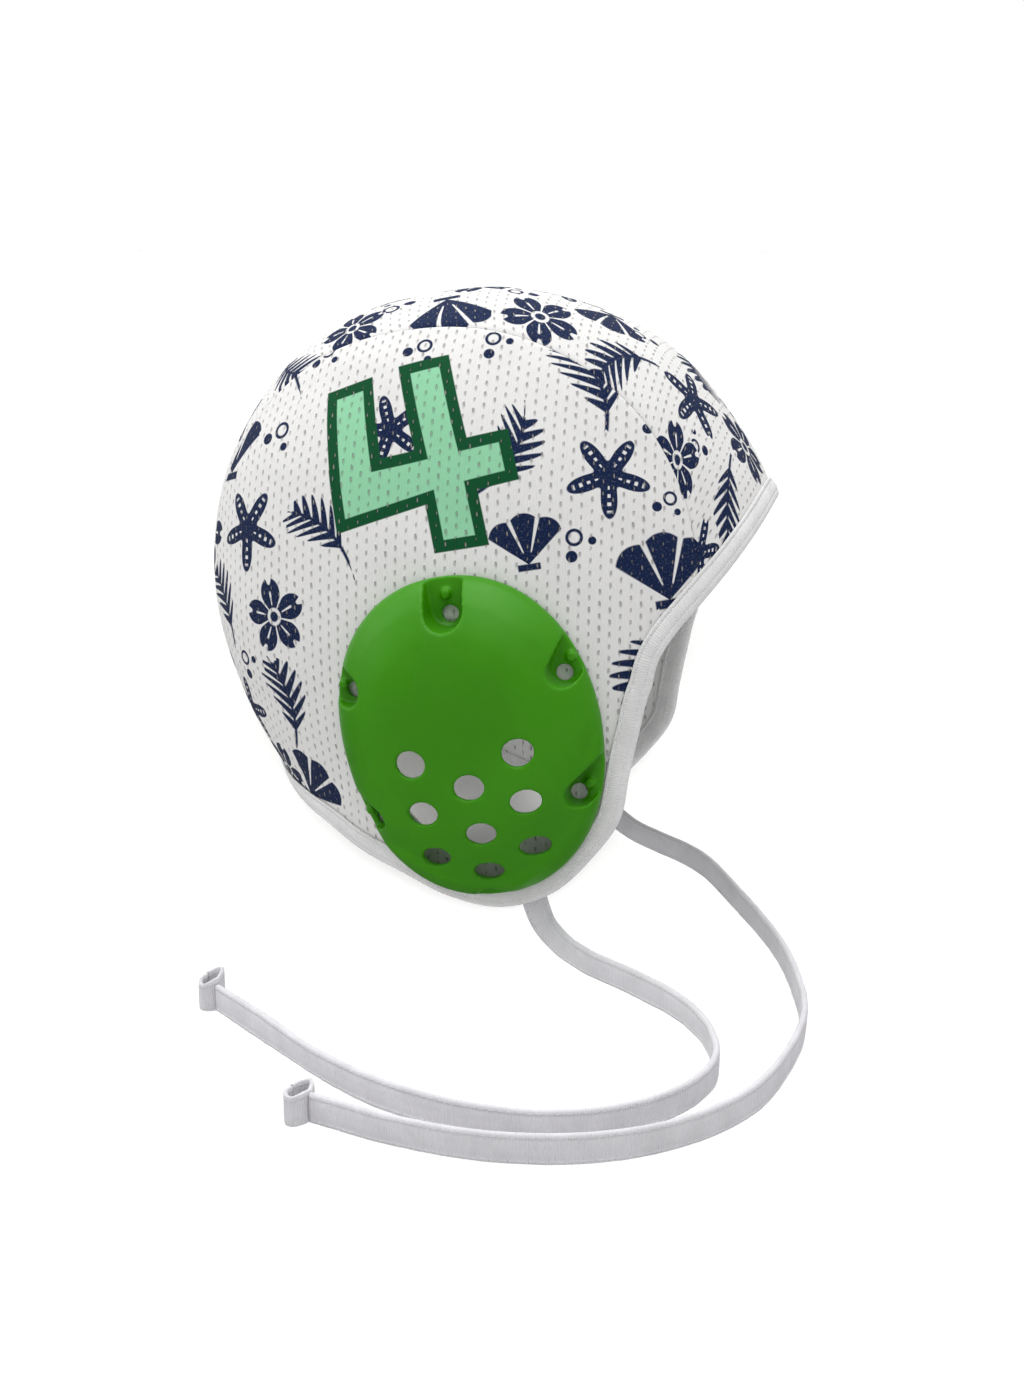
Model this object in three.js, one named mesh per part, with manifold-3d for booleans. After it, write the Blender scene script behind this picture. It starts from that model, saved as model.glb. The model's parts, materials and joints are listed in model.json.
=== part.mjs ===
// Water polo cap: a soft cap of three mesh panels with a taped edge, a moulded
// ear guard laced to each side panel, and two flat ties sewn inside the flaps.
// Millimetres, +X to the wearer's face, +Y to the wearer's left, +Z up.
// The origin is the inside of the crown, where the cap sits on a head.
import * as THREE from 'three';
import { mergeVertices } from 'three/addons/utils/BufferGeometryUtils.js';
import Module from 'manifold-3d';

// Cap
const CAP_LENGTH = 208;        // base oval, brow to back of the head
const CAP_WIDTH = 150;         // over the ears
const EAR_DEPTH = 142;         // crown down to the line through both ears
const CLOTH = 1.2;             // mesh fabric
const STRIP_WIDTH = 78;        // centre panel at the crown
const BROW_ANGLE = 37.6;       // up from the ear line to the middle of the brow
const NAPE_ANGLE = 200.3;      // round over the crown to the middle of the nape
const CLEAR = 0.3;             // gap between pieces that touch

// Edge tape
const TAPE = 1.0;              // binding cloth
const BINDING_WIDTH = 8;       // of the band that shows
const HEM_GAP = 1;             // from the fold to the edge of the cloth in it
const HEM_SLACK = 0.7;         // from the binding to each face of the cloth
const FLAT_EDGE = 12;          // last row of the panel, along the binding

// Ear guards
const GUARD_LENGTH = 109;
const GUARD_WIDTH = 89;
const GUARD_RISE = 18.5;       // over the cloth
const GUARD_TILT = 11.3;       // foot forward
const GUARD_CORNER = 2.15;     // 2 is an ellipse, more is fuller
const GUARD_WALL = 2.2;
const FOOT = 2.6;              // height of the guard's edge
const GUARD_MIDDLE = 0.12;     // flat middle facet, share of the guard
const SEAT = 0.4;              // from the cloth up to its edge
const LIFT_START = 2;          // the guard rises onto the binding from here,
const LIFT_LENGTH = 5;         // short of it, over this length
const EAR_OPENING = 0.72;      // in the side panel, share of the guard
const RECESS_FLOOR = 2.4;      // over the cloth, in the lacing recesses
const LINING_SHARE = 0.985;    // the recess walls end here, share of the guard
const LACE_HOLE = 5.6;
const LACE_HOLE_IN = 2.2;      // from the middle of a recess's round end
const NUB = 3.4;
const NUB_HEIGHT = 2.4;
const SOUND_HOLE = 10.2;       // across; less up and down, because the face
const HOLE_FLATTER = 0.065;    // slopes more lower down
const HOLE_FLATTER_START = 0.8;
const HOLE_COLUMNS = 17.5;     // spacing across
const HOLE_ROWS = 16;          // spacing down
const HOLES_TOP = -2.5;        // first row, from the guard's middle
const HOLES_FORWARD = 1;       // middle column, from the guard's middle
const MIDDLE_DROP = 0.6;       // of that column, in rows

// Ties
const TIE_WIDTH = 9;
const TIE_THICKNESS = 2;
const LOOP_OUTSIDE = 7;
const LOOP_WALL = 1.4;
const LOOP_RIGHT = { depth: 8.5, rise: 3.6 };  // rise is over the tape's edge
const LOOP_LEFT = { depth: 11, rise: 1.4 };

// How far the middle outline stands off its base oval, and how full the cap
// is across at that angle (2 is an ellipse); angles go from the face upwards
const OUTLINE = [
  { angle: -60, reach: 0.947, fullness: 2.50 },
  { angle: -30, reach: 1.030, fullness: 2.28 },
  { angle: 0, reach: 1.040, fullness: 2.15 },
  { angle: 20, reach: 1.018, fullness: 2.26 },
  { angle: 40, reach: 1.019, fullness: 2.38 },
  { angle: 60, reach: 1.014, fullness: 2.47 },
  { angle: 80, reach: 1.000, fullness: 2.56 },
  { angle: 100, reach: 1.030, fullness: 2.58 },
  { angle: 120, reach: 1.112, fullness: 2.53 },
  { angle: 140, reach: 1.146, fullness: 2.47 },
  { angle: 160, reach: 1.085, fullness: 2.39 },
  { angle: 180, reach: 0.955, fullness: 2.30 },
  { angle: 205, reach: 0.799, fullness: 2.35 },
  { angle: 235, reach: 0.772, fullness: 2.45 },
  { angle: 265, reach: 0.808, fullness: 2.58 },
];

// Outer edge of the flaps: share of the way from nape to brow, under the ear,
// and how far it lies from the ear's middle as a share of the half guard length
const EDGE = [
  { way: 0.07, reach: 1.266 },
  { way: 0.14, reach: 1.130 },
  { way: 0.22, reach: 1.046 },
  { way: 0.31, reach: 1.070 },
  { way: 0.40, reach: 1.119 },
  { way: 0.49, reach: 1.112 },
  { way: 0.58, reach: 1.061 },
  { way: 0.66, reach: 1.044 },
  { way: 0.74, reach: 0.991 },
  { way: 0.82, reach: 1.017 },
  { way: 0.89, reach: 1.123 },
  { way: 0.95, reach: 1.365 },
];

// Half width of the centre panel, as a share of its half width at the crown
const STRIP = [
  { angle: 15, share: 1.56 },
  { angle: 60, share: 1.19 },
  { angle: 100, share: 1.00 },
  { angle: 150, share: 0.79 },
  { angle: 215, share: 0.78 },
];

// Section of the guard from its middle to its edge
const GUARD_SECTION = [
  { out: 0.00, rise: 1.000 },
  { out: 0.35, rise: 0.962 },
  { out: 0.65, rise: 0.827 },
  { out: 0.84, rise: 0.610 },
  { out: 0.93, rise: 0.432 },
  { out: 0.98, rise: 0.270 },
];

// Lacing recesses: middle of the round inner end in half widths and half
// lengths of the guard, half width, way out to the edge in degrees, length to
// the open end, how far out its nub stands (0 is a notch with no lace hole)
const RECESSES = [
  { across: 0.058, up: 0.815, half: 6.4, way: 90, open: 14, nub: 4.6 },
  { across: 0.836, up: 0.347, half: 5.2, way: 57, open: 16, nub: 3.8 },
  { across: 0.784, up: -0.407, half: 4.6, way: 33, open: 16, nub: 3 },
  { across: -0.045, up: -1.046, half: 6.6, way: -90, open: 4, nub: 0 },
  { across: -0.836, up: -0.407, half: 4.6, way: 147, open: 16, nub: 3 },
  { across: -0.827, up: 0.422, half: 5.8, way: 146, open: 16, nub: 2.2 },
];

// Routes of the two ties, from the flap down to the surface and along it
const TIE_RIGHT = [
  [19, -67.4, -188], [19.5, -66.2, -195], [20.5, -65.2, -201], [24, -68, -207.5], [31, -75, -211.5],
  [42, -86, -213], [60, -101, -213], [77, -118, -213], [88, -138, -213], [92, -160, -213],
  [86, -179, -213], [72, -195, -213], [52, -204, -213], [28, -203.5, -213], [3, -195, -213],
  [-20, -180, -213], [-44, -159, -213], [-66, -140, -213],
];
const TIE_LEFT = [
  [19, 67.4, -188], [19.5, 66.2, -195], [21, 65, -201], [26, 61, -207], [36, 53, -211.5],
  [48, 43, -213], [60, 31, -213], [70, 17, -213], [82, -9, -213], [94, -37, -213],
  [104, -64, -213], [111, -92, -213], [115, -120, -213], [112, -150, -213], [104, -178, -213],
  [88, -200, -213], [66, -214, -213], [40, -219, -213], [14, -216, -213], [-14, -207, -213],
];
const TIE_STEPS = 26;

// Fineness of the faceted surfaces
const SEAM_STEPS = 26;
const EDGE_STEPS = 32;
const PANEL_ROWS = 5;
const STRIP_STEPS = 26;
const STRIP_COLUMNS = 12;
const BINDING_STEPS = 82;
const GUARD_SIDES = 30;
const LINING_SIDES = 15;
const HOLE_SIDES = 8;
const NUB_SIDES = 6;
const LOOP_SIDES = 10;

const wasm = await Module();
wasm.setup();

const radians = THREE.MathUtils.degToRad;

// Smooth curve in one value through a table's rows
function curve(rows, from, to) {
  const slope = (i) => {
    const a = rows[Math.max(i - 1, 0)];
    const b = rows[Math.min(i + 1, rows.length - 1)];
    return (b[to] - a[to]) / (b[from] - a[from]);
  };
  return (value) => {
    let i = 0;
    while (i < rows.length - 2 && value >= rows[i + 1][from]) i += 1;
    const a = rows[i];
    const b = rows[i + 1];
    const span = b[from] - a[from];
    const t = (value - a[from]) / span;
    return (2 * t ** 3 - 3 * t ** 2 + 1) * a[to] + (t ** 3 - 2 * t ** 2 + t) * span * slope(i)
      + (3 * t ** 2 - 2 * t ** 3) * b[to] + (t ** 3 - t ** 2) * span * slope(i + 1);
  };
}

// The outline goes right round, so its table is repeated at both ends
const turned = (rows, by) => rows.map((row) => ({ ...row, angle: row.angle + by }));
const aroundRows = [...turned(OUTLINE.slice(-2), -360), ...OUTLINE, ...turned(OUTLINE.slice(0, 2), 360)];
const reachAround = curve(aroundRows, 'angle', 'reach');
const fullnessAround = curve(aroundRows, 'angle', 'fullness');
const inTable = (angle) => OUTLINE[0].angle + THREE.MathUtils.euclideanModulo(angle - OUTLINE[0].angle, 360);
const fullness = (angle) => fullnessAround(inTable(angle));
const middle = (angle) => reachAround(inTable(angle)) / Math.hypot(
  Math.cos(radians(angle)) / (CAP_LENGTH / 2), Math.sin(radians(angle)) / EAR_DEPTH);
const EAR_Z = CLOTH - middle(90);
const HALF = CAP_WIDTH / 2;

// The cap's outer surface: its half width at a point seen from the side
const polar = (x, z) => [THREE.MathUtils.radToDeg(Math.atan2(z - EAR_Z, x)), Math.hypot(x, z - EAR_Z)];
function skinAt(x, z) {
  const [angle, r] = polar(x, z);
  const n = fullness(angle);
  return HALF * Math.max(0, 1 - (r / middle(angle)) ** n) ** (1 / n);
}
const radiusAt = (angle, y) => {
  const n = fullness(angle);
  return middle(angle) * Math.max(0, 1 - (Math.abs(y) / HALF) ** n) ** (1 / n);
};
const fromEar = (angle, r, y) => new THREE.Vector3(
  r * Math.cos(radians(angle)), y, EAR_Z + r * Math.sin(radians(angle)));

// The same surface as a level, and the way out of it
function level(p) {
  const [angle, r] = polar(p.x, p.z);
  const n = fullness(angle);
  return ((r / middle(angle)) ** n + (Math.abs(p.y) / HALF) ** n) ** (1 / n) - 1;
}
function slopeOf(p) {
  const step = 0.05;
  const along = (v) => level(p.clone().add(v)) - level(p.clone().sub(v));
  return new THREE.Vector3(along(new THREE.Vector3(step, 0, 0)), along(new THREE.Vector3(0, step, 0)),
    along(new THREE.Vector3(0, 0, step))).divideScalar(2 * step);
}
function settled(p, off) {
  const q = p.clone();
  for (let turn = 0; turn < 4; turn += 1) {
    const slope = slopeOf(q);
    q.addScaledVector(slope, -level(q) / slope.lengthSq());
  }
  return q.addScaledVector(slopeOf(q).normalize(), off);
}

// Outer edge of the cap, from the nape under the ear to the brow
const NAPE = NAPE_ANGLE - 360;
const edgeRows = [
  { way: 0, r: middle(NAPE) },
  ...EDGE.map(({ way, reach }) => ({ way, r: reach * GUARD_LENGTH / 2 })),
  { way: 1, r: middle(BROW_ANGLE) },
];
const edgeCurve = curve(edgeRows, 'way', 'r');
const edgeRadius = (angle) => Math.min(edgeCurve((angle - NAPE) / (BROW_ANGLE - NAPE)), middle(angle));
const stripHalf = (() => {
  const share = curve(STRIP, 'angle', 'share');
  return (angle) => share(angle) * STRIP_WIDTH / 2;
})();

// First change of sign met in steps from a value, which is this far before it
const BEFORE = 5;
function crossing(f, from, step) {
  let lo = from;
  while ((f(lo + step) > 0) === (f(from) > 0)) lo += step;
  let hi = lo + step;
  for (let turn = 0; turn < 40; turn += 1) {
    const mid = (lo + hi) / 2;
    if ((f(mid) > 0) === (f(lo) > 0)) lo = mid;
    else hi = mid;
  }
  return (lo + hi) / 2;
}
const smooth = (t) => { const c = THREE.MathUtils.clamp(t, 0, 1); return c * c * (3 - 2 * c); };

// A closed mesh from its corners and its triangles, turned to face outwards
function closed(points, triangles) {
  let volume = 0;
  const [a, b, c] = [new THREE.Vector3(), new THREE.Vector3(), new THREE.Vector3()];
  for (const [i, j, k] of triangles) {
    volume += a.copy(points[i]).dot(b.copy(points[j]).cross(c.copy(points[k])));
  }
  const facing = volume > 0 ? triangles : triangles.map(([i, j, k]) => [i, k, j]);
  const geometry = new THREE.BufferGeometry();
  geometry.setAttribute('position', new THREE.Float32BufferAttribute(points.flatMap((p) => p.toArray()), 3));
  geometry.setIndex(facing.flat());
  return mergeVertices(geometry);
}

// Sections joined one after another: each is a closed ring of points. The
// stack ends in flat fans, or goes round to its start.
function stacked(sections, round = false) {
  const count = sections[0].length;
  const points = sections.flat();
  const triangles = [];
  const joints = round ? sections.length : sections.length - 1;
  for (let i = 0; i < joints; i += 1) {
    const next = (i + 1) % sections.length;
    for (let j = 0; j < count; j += 1) {
      const k = (j + 1) % count;
      triangles.push([i * count + j, next * count + j, next * count + k],
        [i * count + j, next * count + k, i * count + k]);
    }
  }
  if (!round) {
    for (const [start, flip] of [[0, false], [(sections.length - 1) * count, true]]) {
      const centre = points.length;
      const sum = new THREE.Vector3();
      for (let j = 0; j < count; j += 1) sum.add(points[start + j]);
      points.push(sum.divideScalar(count));
      for (let j = 0; j < count; j += 1) {
        const k = (j + 1) % count;
        triangles.push(flip ? [centre, start + k, start + j] : [centre, start + j, start + k]);
      }
    }
  }
  return closed(points, triangles);
}

// A sheet of cloth with its outer face through a grid of points on the skin
function sheet(grid, ring) {
  const rows = grid.length;
  const columns = grid[0].length;
  const points = [...grid.flat().map((p) => settled(p, 0)), ...grid.flat().map((p) => settled(p, -CLOTH))];
  const under = rows * columns;
  const triangles = [];
  const quad = (a, b, c, d) => triangles.push([a, b, c], [a, c, d]);
  const last = ring ? columns : columns - 1;
  for (let i = 0; i < rows - 1; i += 1) {
    for (let j = 0; j < last; j += 1) {
      const k = (j + 1) % columns;
      const [a, b, c, d] = [i * columns + j, i * columns + k, (i + 1) * columns + k, (i + 1) * columns + j];
      quad(a, b, c, d);
      quad(d + under, c + under, b + under, a + under);
    }
  }
  for (let j = 0; j < last; j += 1) {
    const k = (j + 1) % columns;
    const end = (rows - 1) * columns;
    quad(k, j, j + under, k + under);
    quad(end + j, end + k, end + k + under, end + j + under);
  }
  if (!ring) {
    for (let i = 0; i < rows - 1; i += 1) {
      const [a, b] = [i * columns, (i + 1) * columns];
      quad(a, b, b + under, a + under);
      quad(b + columns - 1, a + columns - 1, a + columns - 1 + under, b + columns - 1 + under);
    }
  }
  return closed(points, triangles);
}

function solidOf(geometry) {
  const plain = geometry.clone();
  plain.deleteAttribute('normal');
  plain.deleteAttribute('uv');
  const merged = mergeVertices(plain, 1e-5);
  return new wasm.Manifold(new wasm.Mesh({
    numProp: 3,
    vertProperties: new Float32Array(merged.attributes.position.array),
    triVerts: new Uint32Array(merged.index.array),
  }));
}
function geometryOf(solid) {
  const { vertProperties, triVerts } = solid.getMesh();
  const geometry = new THREE.BufferGeometry();
  geometry.setAttribute('position', new THREE.BufferAttribute(vertProperties, 3));
  geometry.setIndex(new THREE.BufferAttribute(triVerts, 1));
  return geometry;
}
function mirrored(geometry) {
  const copy = geometry.clone().scale(1, -1, 1);
  const index = Array.from(copy.index.array);
  for (let i = 0; i < index.length; i += 3) [index[i], index[i + 1]] = [index[i + 1], index[i]];
  copy.setIndex(index);
  return copy;
}

// The edge as a line on the skin, right round the cap
const loop = (() => {
  const fine = 400;
  const side = Array.from({ length: fine + 1 }, (_, i) => {
    const angle = THREE.MathUtils.lerp(NAPE, BROW_ANGLE, (1 - Math.cos(Math.PI * i / fine)) / 2);
    const p = fromEar(angle, edgeRadius(angle), 0);
    return p.setY(i === 0 || i === fine ? 0 : -skinAt(p.x, p.z));
  });
  const back = side.slice(1, -1).reverse().map((p) => p.clone().setY(-p.y));
  const path = new THREE.CatmullRomCurve3([...side, ...back], true, 'centripetal');
  path.arcLengthDivisions = 2000;
  return path;
})();

// A point beside the edge, on the skin or off it: along is less than 0 on the cloth
function besideEdge(share, along, off) {
  const p = settled(loop.getPointAt(share), 0);
  const outward = loop.getTangentAt(share).cross(slopeOf(p).normalize()).normalize();
  return settled(p.addScaledVector(outward, along), off);
}

// The cloth stops inside the fold of the binding, this far from the ear
const hemLine = Array.from({ length: 201 }, (_, i) => {
  const p = besideEdge(i / 400, -(TAPE + HEM_GAP), 0);
  const [angle, r] = polar(p.x, p.z);
  return { angle: angle > 90 ? angle - 360 : angle, r };
});
const clothRadius = (angle) => {
  const next = hemLine.findIndex((row) => row.angle >= angle);
  if (next <= 0) return 2 * EAR_DEPTH;
  const [a, b] = [hemLine[next - 1], hemLine[next]];
  return THREE.MathUtils.lerp(a.r, b.r, (angle - a.angle) / (b.angle - a.angle));
};
const SEAM_GAP = CLEAR / 2;
const seamRadius = (angle, offset) => radiusAt(angle, stripHalf(angle) + offset);

// Values that cut a line on the skin into equal lengths
function spread(pointAt, from, to, count) {
  const fine = 240;
  const values = Array.from({ length: fine + 1 }, (_, i) => THREE.MathUtils.lerp(from, to, i / fine));
  const points = values.map(pointAt);
  const lengths = [0];
  for (let i = 1; i <= fine; i += 1) lengths.push(lengths[i - 1] + points[i].distanceTo(points[i - 1]));
  return Array.from({ length: count }, (_, step) => {
    const target = lengths[fine] * step / count;
    const next = Math.max(1, lengths.findIndex((length) => length >= target));
    const t = (target - lengths[next - 1]) / (lengths[next] - lengths[next - 1]);
    return THREE.MathUtils.lerp(values[next - 1], values[next], t);
  });
}

// Centre panel, from the brow over the crown to the nape
function crownStrip() {
  const grid = [];
  const ends = (share) => {
    const y = (angle) => share * (stripHalf(angle) - SEAM_GAP);
    const past = (angle) => clothRadius(angle) - radiusAt(angle, y(angle));
    const lower = (angle) => clothRadius(angle - 360) - radiusAt(angle, y(angle));
    return [crossing(past, BROW_ANGLE + BEFORE, -1), crossing(lower, NAPE_ANGLE - BEFORE, 1), y];
  };
  for (let j = 0; j <= STRIP_COLUMNS; j += 1) {
    const share = Math.sin(Math.PI * (j / STRIP_COLUMNS - 0.5));
    const [brow, nape, y] = ends(share);
    for (let i = 0; i <= STRIP_STEPS; i += 1) {
      const angle = THREE.MathUtils.lerp(brow, nape, i / STRIP_STEPS);
      grid[i] ??= [];
      grid[i].push(fromEar(angle, radiusAt(angle, y(angle)), y(angle)));
    }
  }
  return sheet(grid, false);
}

// The guard seen from the side: how far a point is from its middle to its edge
const tilt = radians(GUARD_TILT);
function inGuard(x, z) {
  const up = z - EAR_Z;
  return [x * Math.cos(tilt) + up * Math.sin(tilt), up * Math.cos(tilt) - x * Math.sin(tilt)];
}
const fromGuard = (u, w) => [u * Math.cos(tilt) - w * Math.sin(tilt),
  EAR_Z + u * Math.sin(tilt) + w * Math.cos(tilt)];
const guardShare = (u, w) => ((Math.abs(u) / (GUARD_WIDTH / 2)) ** GUARD_CORNER
  + (Math.abs(w) / (GUARD_LENGTH / 2)) ** GUARD_CORNER) ** (1 / GUARD_CORNER);
function guardRim(angle, share) {
  const [c, s] = [Math.cos(radians(angle)), Math.sin(radians(angle))];
  const r = share / guardShare(c, s);
  return fromGuard(r * c, r * s);
}

// Side panel, a ring of cloth between the ear opening and its seam and edge
function sidePanel() {
  const meets = (angle) => clothRadius(angle) - seamRadius(angle, SEAM_GAP);
  const front = crossing(meets, BROW_ANGLE, -1);
  const meetsBack = (angle) => clothRadius(angle - 360) - seamRadius(angle, SEAM_GAP);
  const back = crossing(meetsBack, NAPE_ANGLE, 1);
  const onSkin = (angle, r) => {
    const p = fromEar(angle, r, 0);
    return p.setY(-skinAt(p.x, p.z));
  };
  const seam = (angle) => seamRadius(angle, SEAM_GAP);
  const stations = [
    ...spread((angle) => onSkin(angle, seam(angle)), front, back, SEAM_STEPS).map((a) => [a, seam(a)]),
    ...spread((angle) => onSkin(angle, clothRadius(angle)), back - 360, front, EDGE_STEPS)
      .map((a) => [a, clothRadius(a)]),
  ];
  const grid = [];
  for (let row = 0; row <= PANEL_ROWS; row += 1) {
    grid.push(stations.map(([angle, outer]) => {
      const inner = EAR_OPENING / guardShare(...inGuard(Math.cos(radians(angle)),
        EAR_Z + Math.sin(radians(angle))));
      const [from, to] = [onSkin(angle, inner), onSkin(angle, outer)];
      const covered = 1 - FLAT_EDGE / from.distanceTo(to);
      return from.lerp(to, row === PANEL_ROWS ? 1 : covered * row / (PANEL_ROWS - 1));
    }));
  }
  return sheet(grid, true);
}

// Binding: a tape folded round the whole edge, over both faces of the cloth
function binding() {
  const [outside, inside] = [HEM_SLACK + TAPE, -(CLOTH + HEM_SLACK + TAPE)];
  const section = [
    [-BINDING_WIDTH, outside], [-TAPE, outside], [0, (outside + inside) / 2], [-TAPE, inside],
    [-BINDING_WIDTH, inside], [-BINDING_WIDTH, -CLOTH - HEM_SLACK], [-TAPE, -CLOTH - HEM_SLACK],
    [-TAPE, HEM_SLACK], [-BINDING_WIDTH, HEM_SLACK],
  ];
  const sections = [];
  for (let i = 0; i < BINDING_STEPS; i += 1) {
    sections.push(section.map(([along, off]) => besideEdge(i / BINDING_STEPS, along, off)));
  }
  return stacked(sections, true);
}

// Height of what lies under the guard's foot: cloth, or the binding over it
function seatUnder(x, z) {
  const [angle, r] = polar(x, z);
  if (angle < NAPE || angle > BROW_ANGLE) return SEAT;
  const toBinding = edgeRadius(angle) - BINDING_WIDTH - r;
  return SEAT + (TAPE + HEM_SLACK) * smooth(1 - (toBinding - LIFT_START) / LIFT_LENGTH);
}
const guardRise = curve([...GUARD_SECTION, { out: 1, rise: FOOT / GUARD_RISE }], 'out', 'rise');
const onSide = (x, z, height) => new THREE.Vector3(x, -(skinAt(x, z) + height), z);
const guardTop = (share) => Math.max(guardRise(share) * GUARD_RISE, FOOT);

// A body over an outline seen from the side, between two heights over the seat
function block(outline, low, high) {
  const ring = (height) => outline.map(([u, w]) => {
    const [x, z] = fromGuard(u, w);
    return onSide(x, z, (typeof height === 'number' ? height : height(u, w)) + seatUnder(x, z));
  });
  return solidOf(stacked([ring(low), ring(high)]));
}
const disc = (u, w, wide, sides, high = wide) => Array.from({ length: sides }, (_, i) => [
  u + wide / 2 * Math.cos(2 * Math.PI * i / sides),
  w + high / 2 * Math.sin(2 * Math.PI * i / sides)]);

// The guard's shell: rings from its middle over the edge and back underneath
function dome() {
  const ring = (share, height) => Array.from({ length: GUARD_SIDES }, (_, i) => {
    const [x, z] = guardRim(360 * i / GUARD_SIDES, share);
    return onSide(x, z, height + seatUnder(x, z));
  });
  const outer = [...GUARD_SECTION.slice(1).map(({ out }) => out), 1];
  const sections = [GUARD_MIDDLE, ...outer].map((share) => ring(share, guardTop(share)));
  sections.push(ring(1, 0));
  const thin = 1 - GUARD_WALL / (GUARD_WIDTH / 2);
  sections.push(ring(thin, 0));
  for (const { out } of GUARD_SECTION.slice(1, -1).reverse()) {
    sections.push(ring(out * thin, guardTop(out) - GUARD_WALL));
  }
  return solidOf(stacked(sections));
}

// Outline of a lacing recess: open past the edge, with a round inner end
function recess({ across, up, half, way, open }, grow) {
  const out = [Math.cos(radians(way)), Math.sin(radians(way))];
  const at = (outward, sideways) => [
    across * GUARD_WIDTH / 2 + out[0] * outward - out[1] * sideways,
    up * GUARD_LENGTH / 2 + out[1] * outward + out[0] * sideways];
  const turns = [-90, -45, 0, 45, 90].map(radians);
  return { at,
    outline: [at(open, -half - grow), at(open, half + grow),
      ...turns.map((a) => at(-(half + grow) * Math.cos(a), -(half + grow) * Math.sin(a)))] };
}
function earGuard() {
  let body = dome();
  const inWall = (u, w) => guardTop(Math.min(guardShare(u, w), 1)) - GUARD_WALL / 3;
  const footprint = Array.from({ length: LINING_SIDES }, (_, i) => (
    inGuard(...guardRim(360 * i / LINING_SIDES, LINING_SHARE))));
  const inside = block(footprint, 0, 2 * GUARD_RISE);
  for (const row of RECESSES) {
    body = body.add(block(recess(row, GUARD_WALL).outline, 0, inWall).intersect(inside));
  }
  for (const row of RECESSES) {
    const { at, outline } = recess(row, 0);
    body = body.subtract(block(outline, RECESS_FLOOR, 2 * GUARD_RISE));
    if (row.nub) {
      body = body.subtract(block(disc(...at(-LACE_HOLE_IN, 0), LACE_HOLE, NUB_SIDES), -1, GUARD_RISE));
      body = body.add(block(disc(...at(row.nub, 0), NUB, NUB_SIDES), FOOT / 2, FOOT + NUB_HEIGHT));
    }
  }
  for (const column of [-1, 0, 1]) {
    for (const row of [0, 1, 2]) {
      const u = HOLES_FORWARD + column * HOLE_COLUMNS;
      const w = HOLES_TOP - HOLE_ROWS * (column === 0 ? row + MIDDLE_DROP : row);
      const high = SOUND_HOLE - HOLE_FLATTER_START + HOLE_FLATTER * w;
      body = body.subtract(block(disc(u, w, SOUND_HOLE, HOLE_SIDES, high), -1, 2 * GUARD_RISE));
    }
  }
  return geometryOf(body);
}

// A flat tie: it hangs flat against the flap and then stands on its edge
function tie(route) {
  const path = new THREE.CatmullRomCurve3(route.map((p) => new THREE.Vector3(...p)), false, 'centripetal');
  const [h, t] = [TIE_WIDTH / 2, TIE_THICKNESS / 2];
  const section = [[-h, -t / 2], [-h, t / 2], [-h + t / 2, t], [h - t / 2, t], [h, t / 2], [h, -t / 2],
    [h - t / 2, -t], [-h + t / 2, -t]];
  const sections = [];
  for (let i = 0; i <= TIE_STEPS; i += 1) {
    const p = path.getPointAt(i / TIE_STEPS);
    const way = path.getTangentAt(i / TIE_STEPS);
    const lean = new THREE.Vector3(-way.z, 0, Math.hypot(way.x, way.y));
    const face = way.clone().cross(lean).normalize();
    const width = face.clone().cross(way).normalize();
    sections.push(section.map(([a, b]) => p.clone().addScaledVector(width, a).addScaledVector(face, b)));
  }
  return stacked(sections);
}

// The tie's end, folded back into a small upright loop and stitched
function tieLoop(route, { depth, rise }) {
  const end = new THREE.Vector3(...route.at(-1));
  const way = end.clone().sub(new THREE.Vector3(...route.at(-2))).normalize();
  const across = new THREE.Vector3(-way.y, way.x, 0);
  const centre = end.addScaledVector(way, LOOP_OUTSIDE / 2 + CLEAR);
  const half = TIE_WIDTH / 2;
  return stacked(Array.from({ length: LOOP_SIDES }, (_, i) => {
    const turn = 2 * Math.PI * i / LOOP_SIDES;
    const section = [[0, -half], [0, half + rise], [LOOP_WALL, half + rise], [LOOP_WALL, -half]];
    return section.map(([inward, z]) => centre.clone()
      .addScaledVector(way, Math.cos(turn) * (LOOP_OUTSIDE / 2 - inward))
      .addScaledVector(across, Math.sin(turn) * (depth / 2 - inward))
      .add(new THREE.Vector3(0, 0, z)));
  }), true);
}

const cloth = { color: 0xe9e8ee, roughness: 0.85, metalness: 0, side: THREE.DoubleSide };
const white = { color: 0xdfdde8, roughness: 0.8, metalness: 0 };
const moulded = { color: 0x3c9416, roughness: 0.45, metalness: 0 };
const group = new THREE.Group();
function add(name, geometry, finish) {
  const mesh = new THREE.Mesh(geometry, new THREE.MeshStandardMaterial(finish));
  mesh.name = name;
  group.add(mesh);
}

const panel = sidePanel();
const guard = earGuard();
add('crown_strip', crownStrip(), cloth);
add('side_panel_right', panel, cloth);
add('side_panel_left', mirrored(panel), cloth);
add('edge_binding', binding(), white);
add('ear_guard_right', guard, moulded);
add('ear_guard_left', mirrored(guard), moulded);
add('tie_right', tie(TIE_RIGHT), white);
add('tie_left', tie(TIE_LEFT), white);
add('tie_loop_right', tieLoop(TIE_RIGHT, LOOP_RIGHT), white);
add('tie_loop_left', tieLoop(TIE_LEFT, LOOP_LEFT), white);

export default group;
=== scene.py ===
"""Water polo cap, dressed for rendering.

Mesh cloth in three panels with a printed pattern and a number on each side, a
taped edge, two moulded ear guards and two free tape ties, on a pale floor.
Millimetres are used for the shapes and metres for the objects.
"""
import json
import math
from functools import reduce

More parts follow.
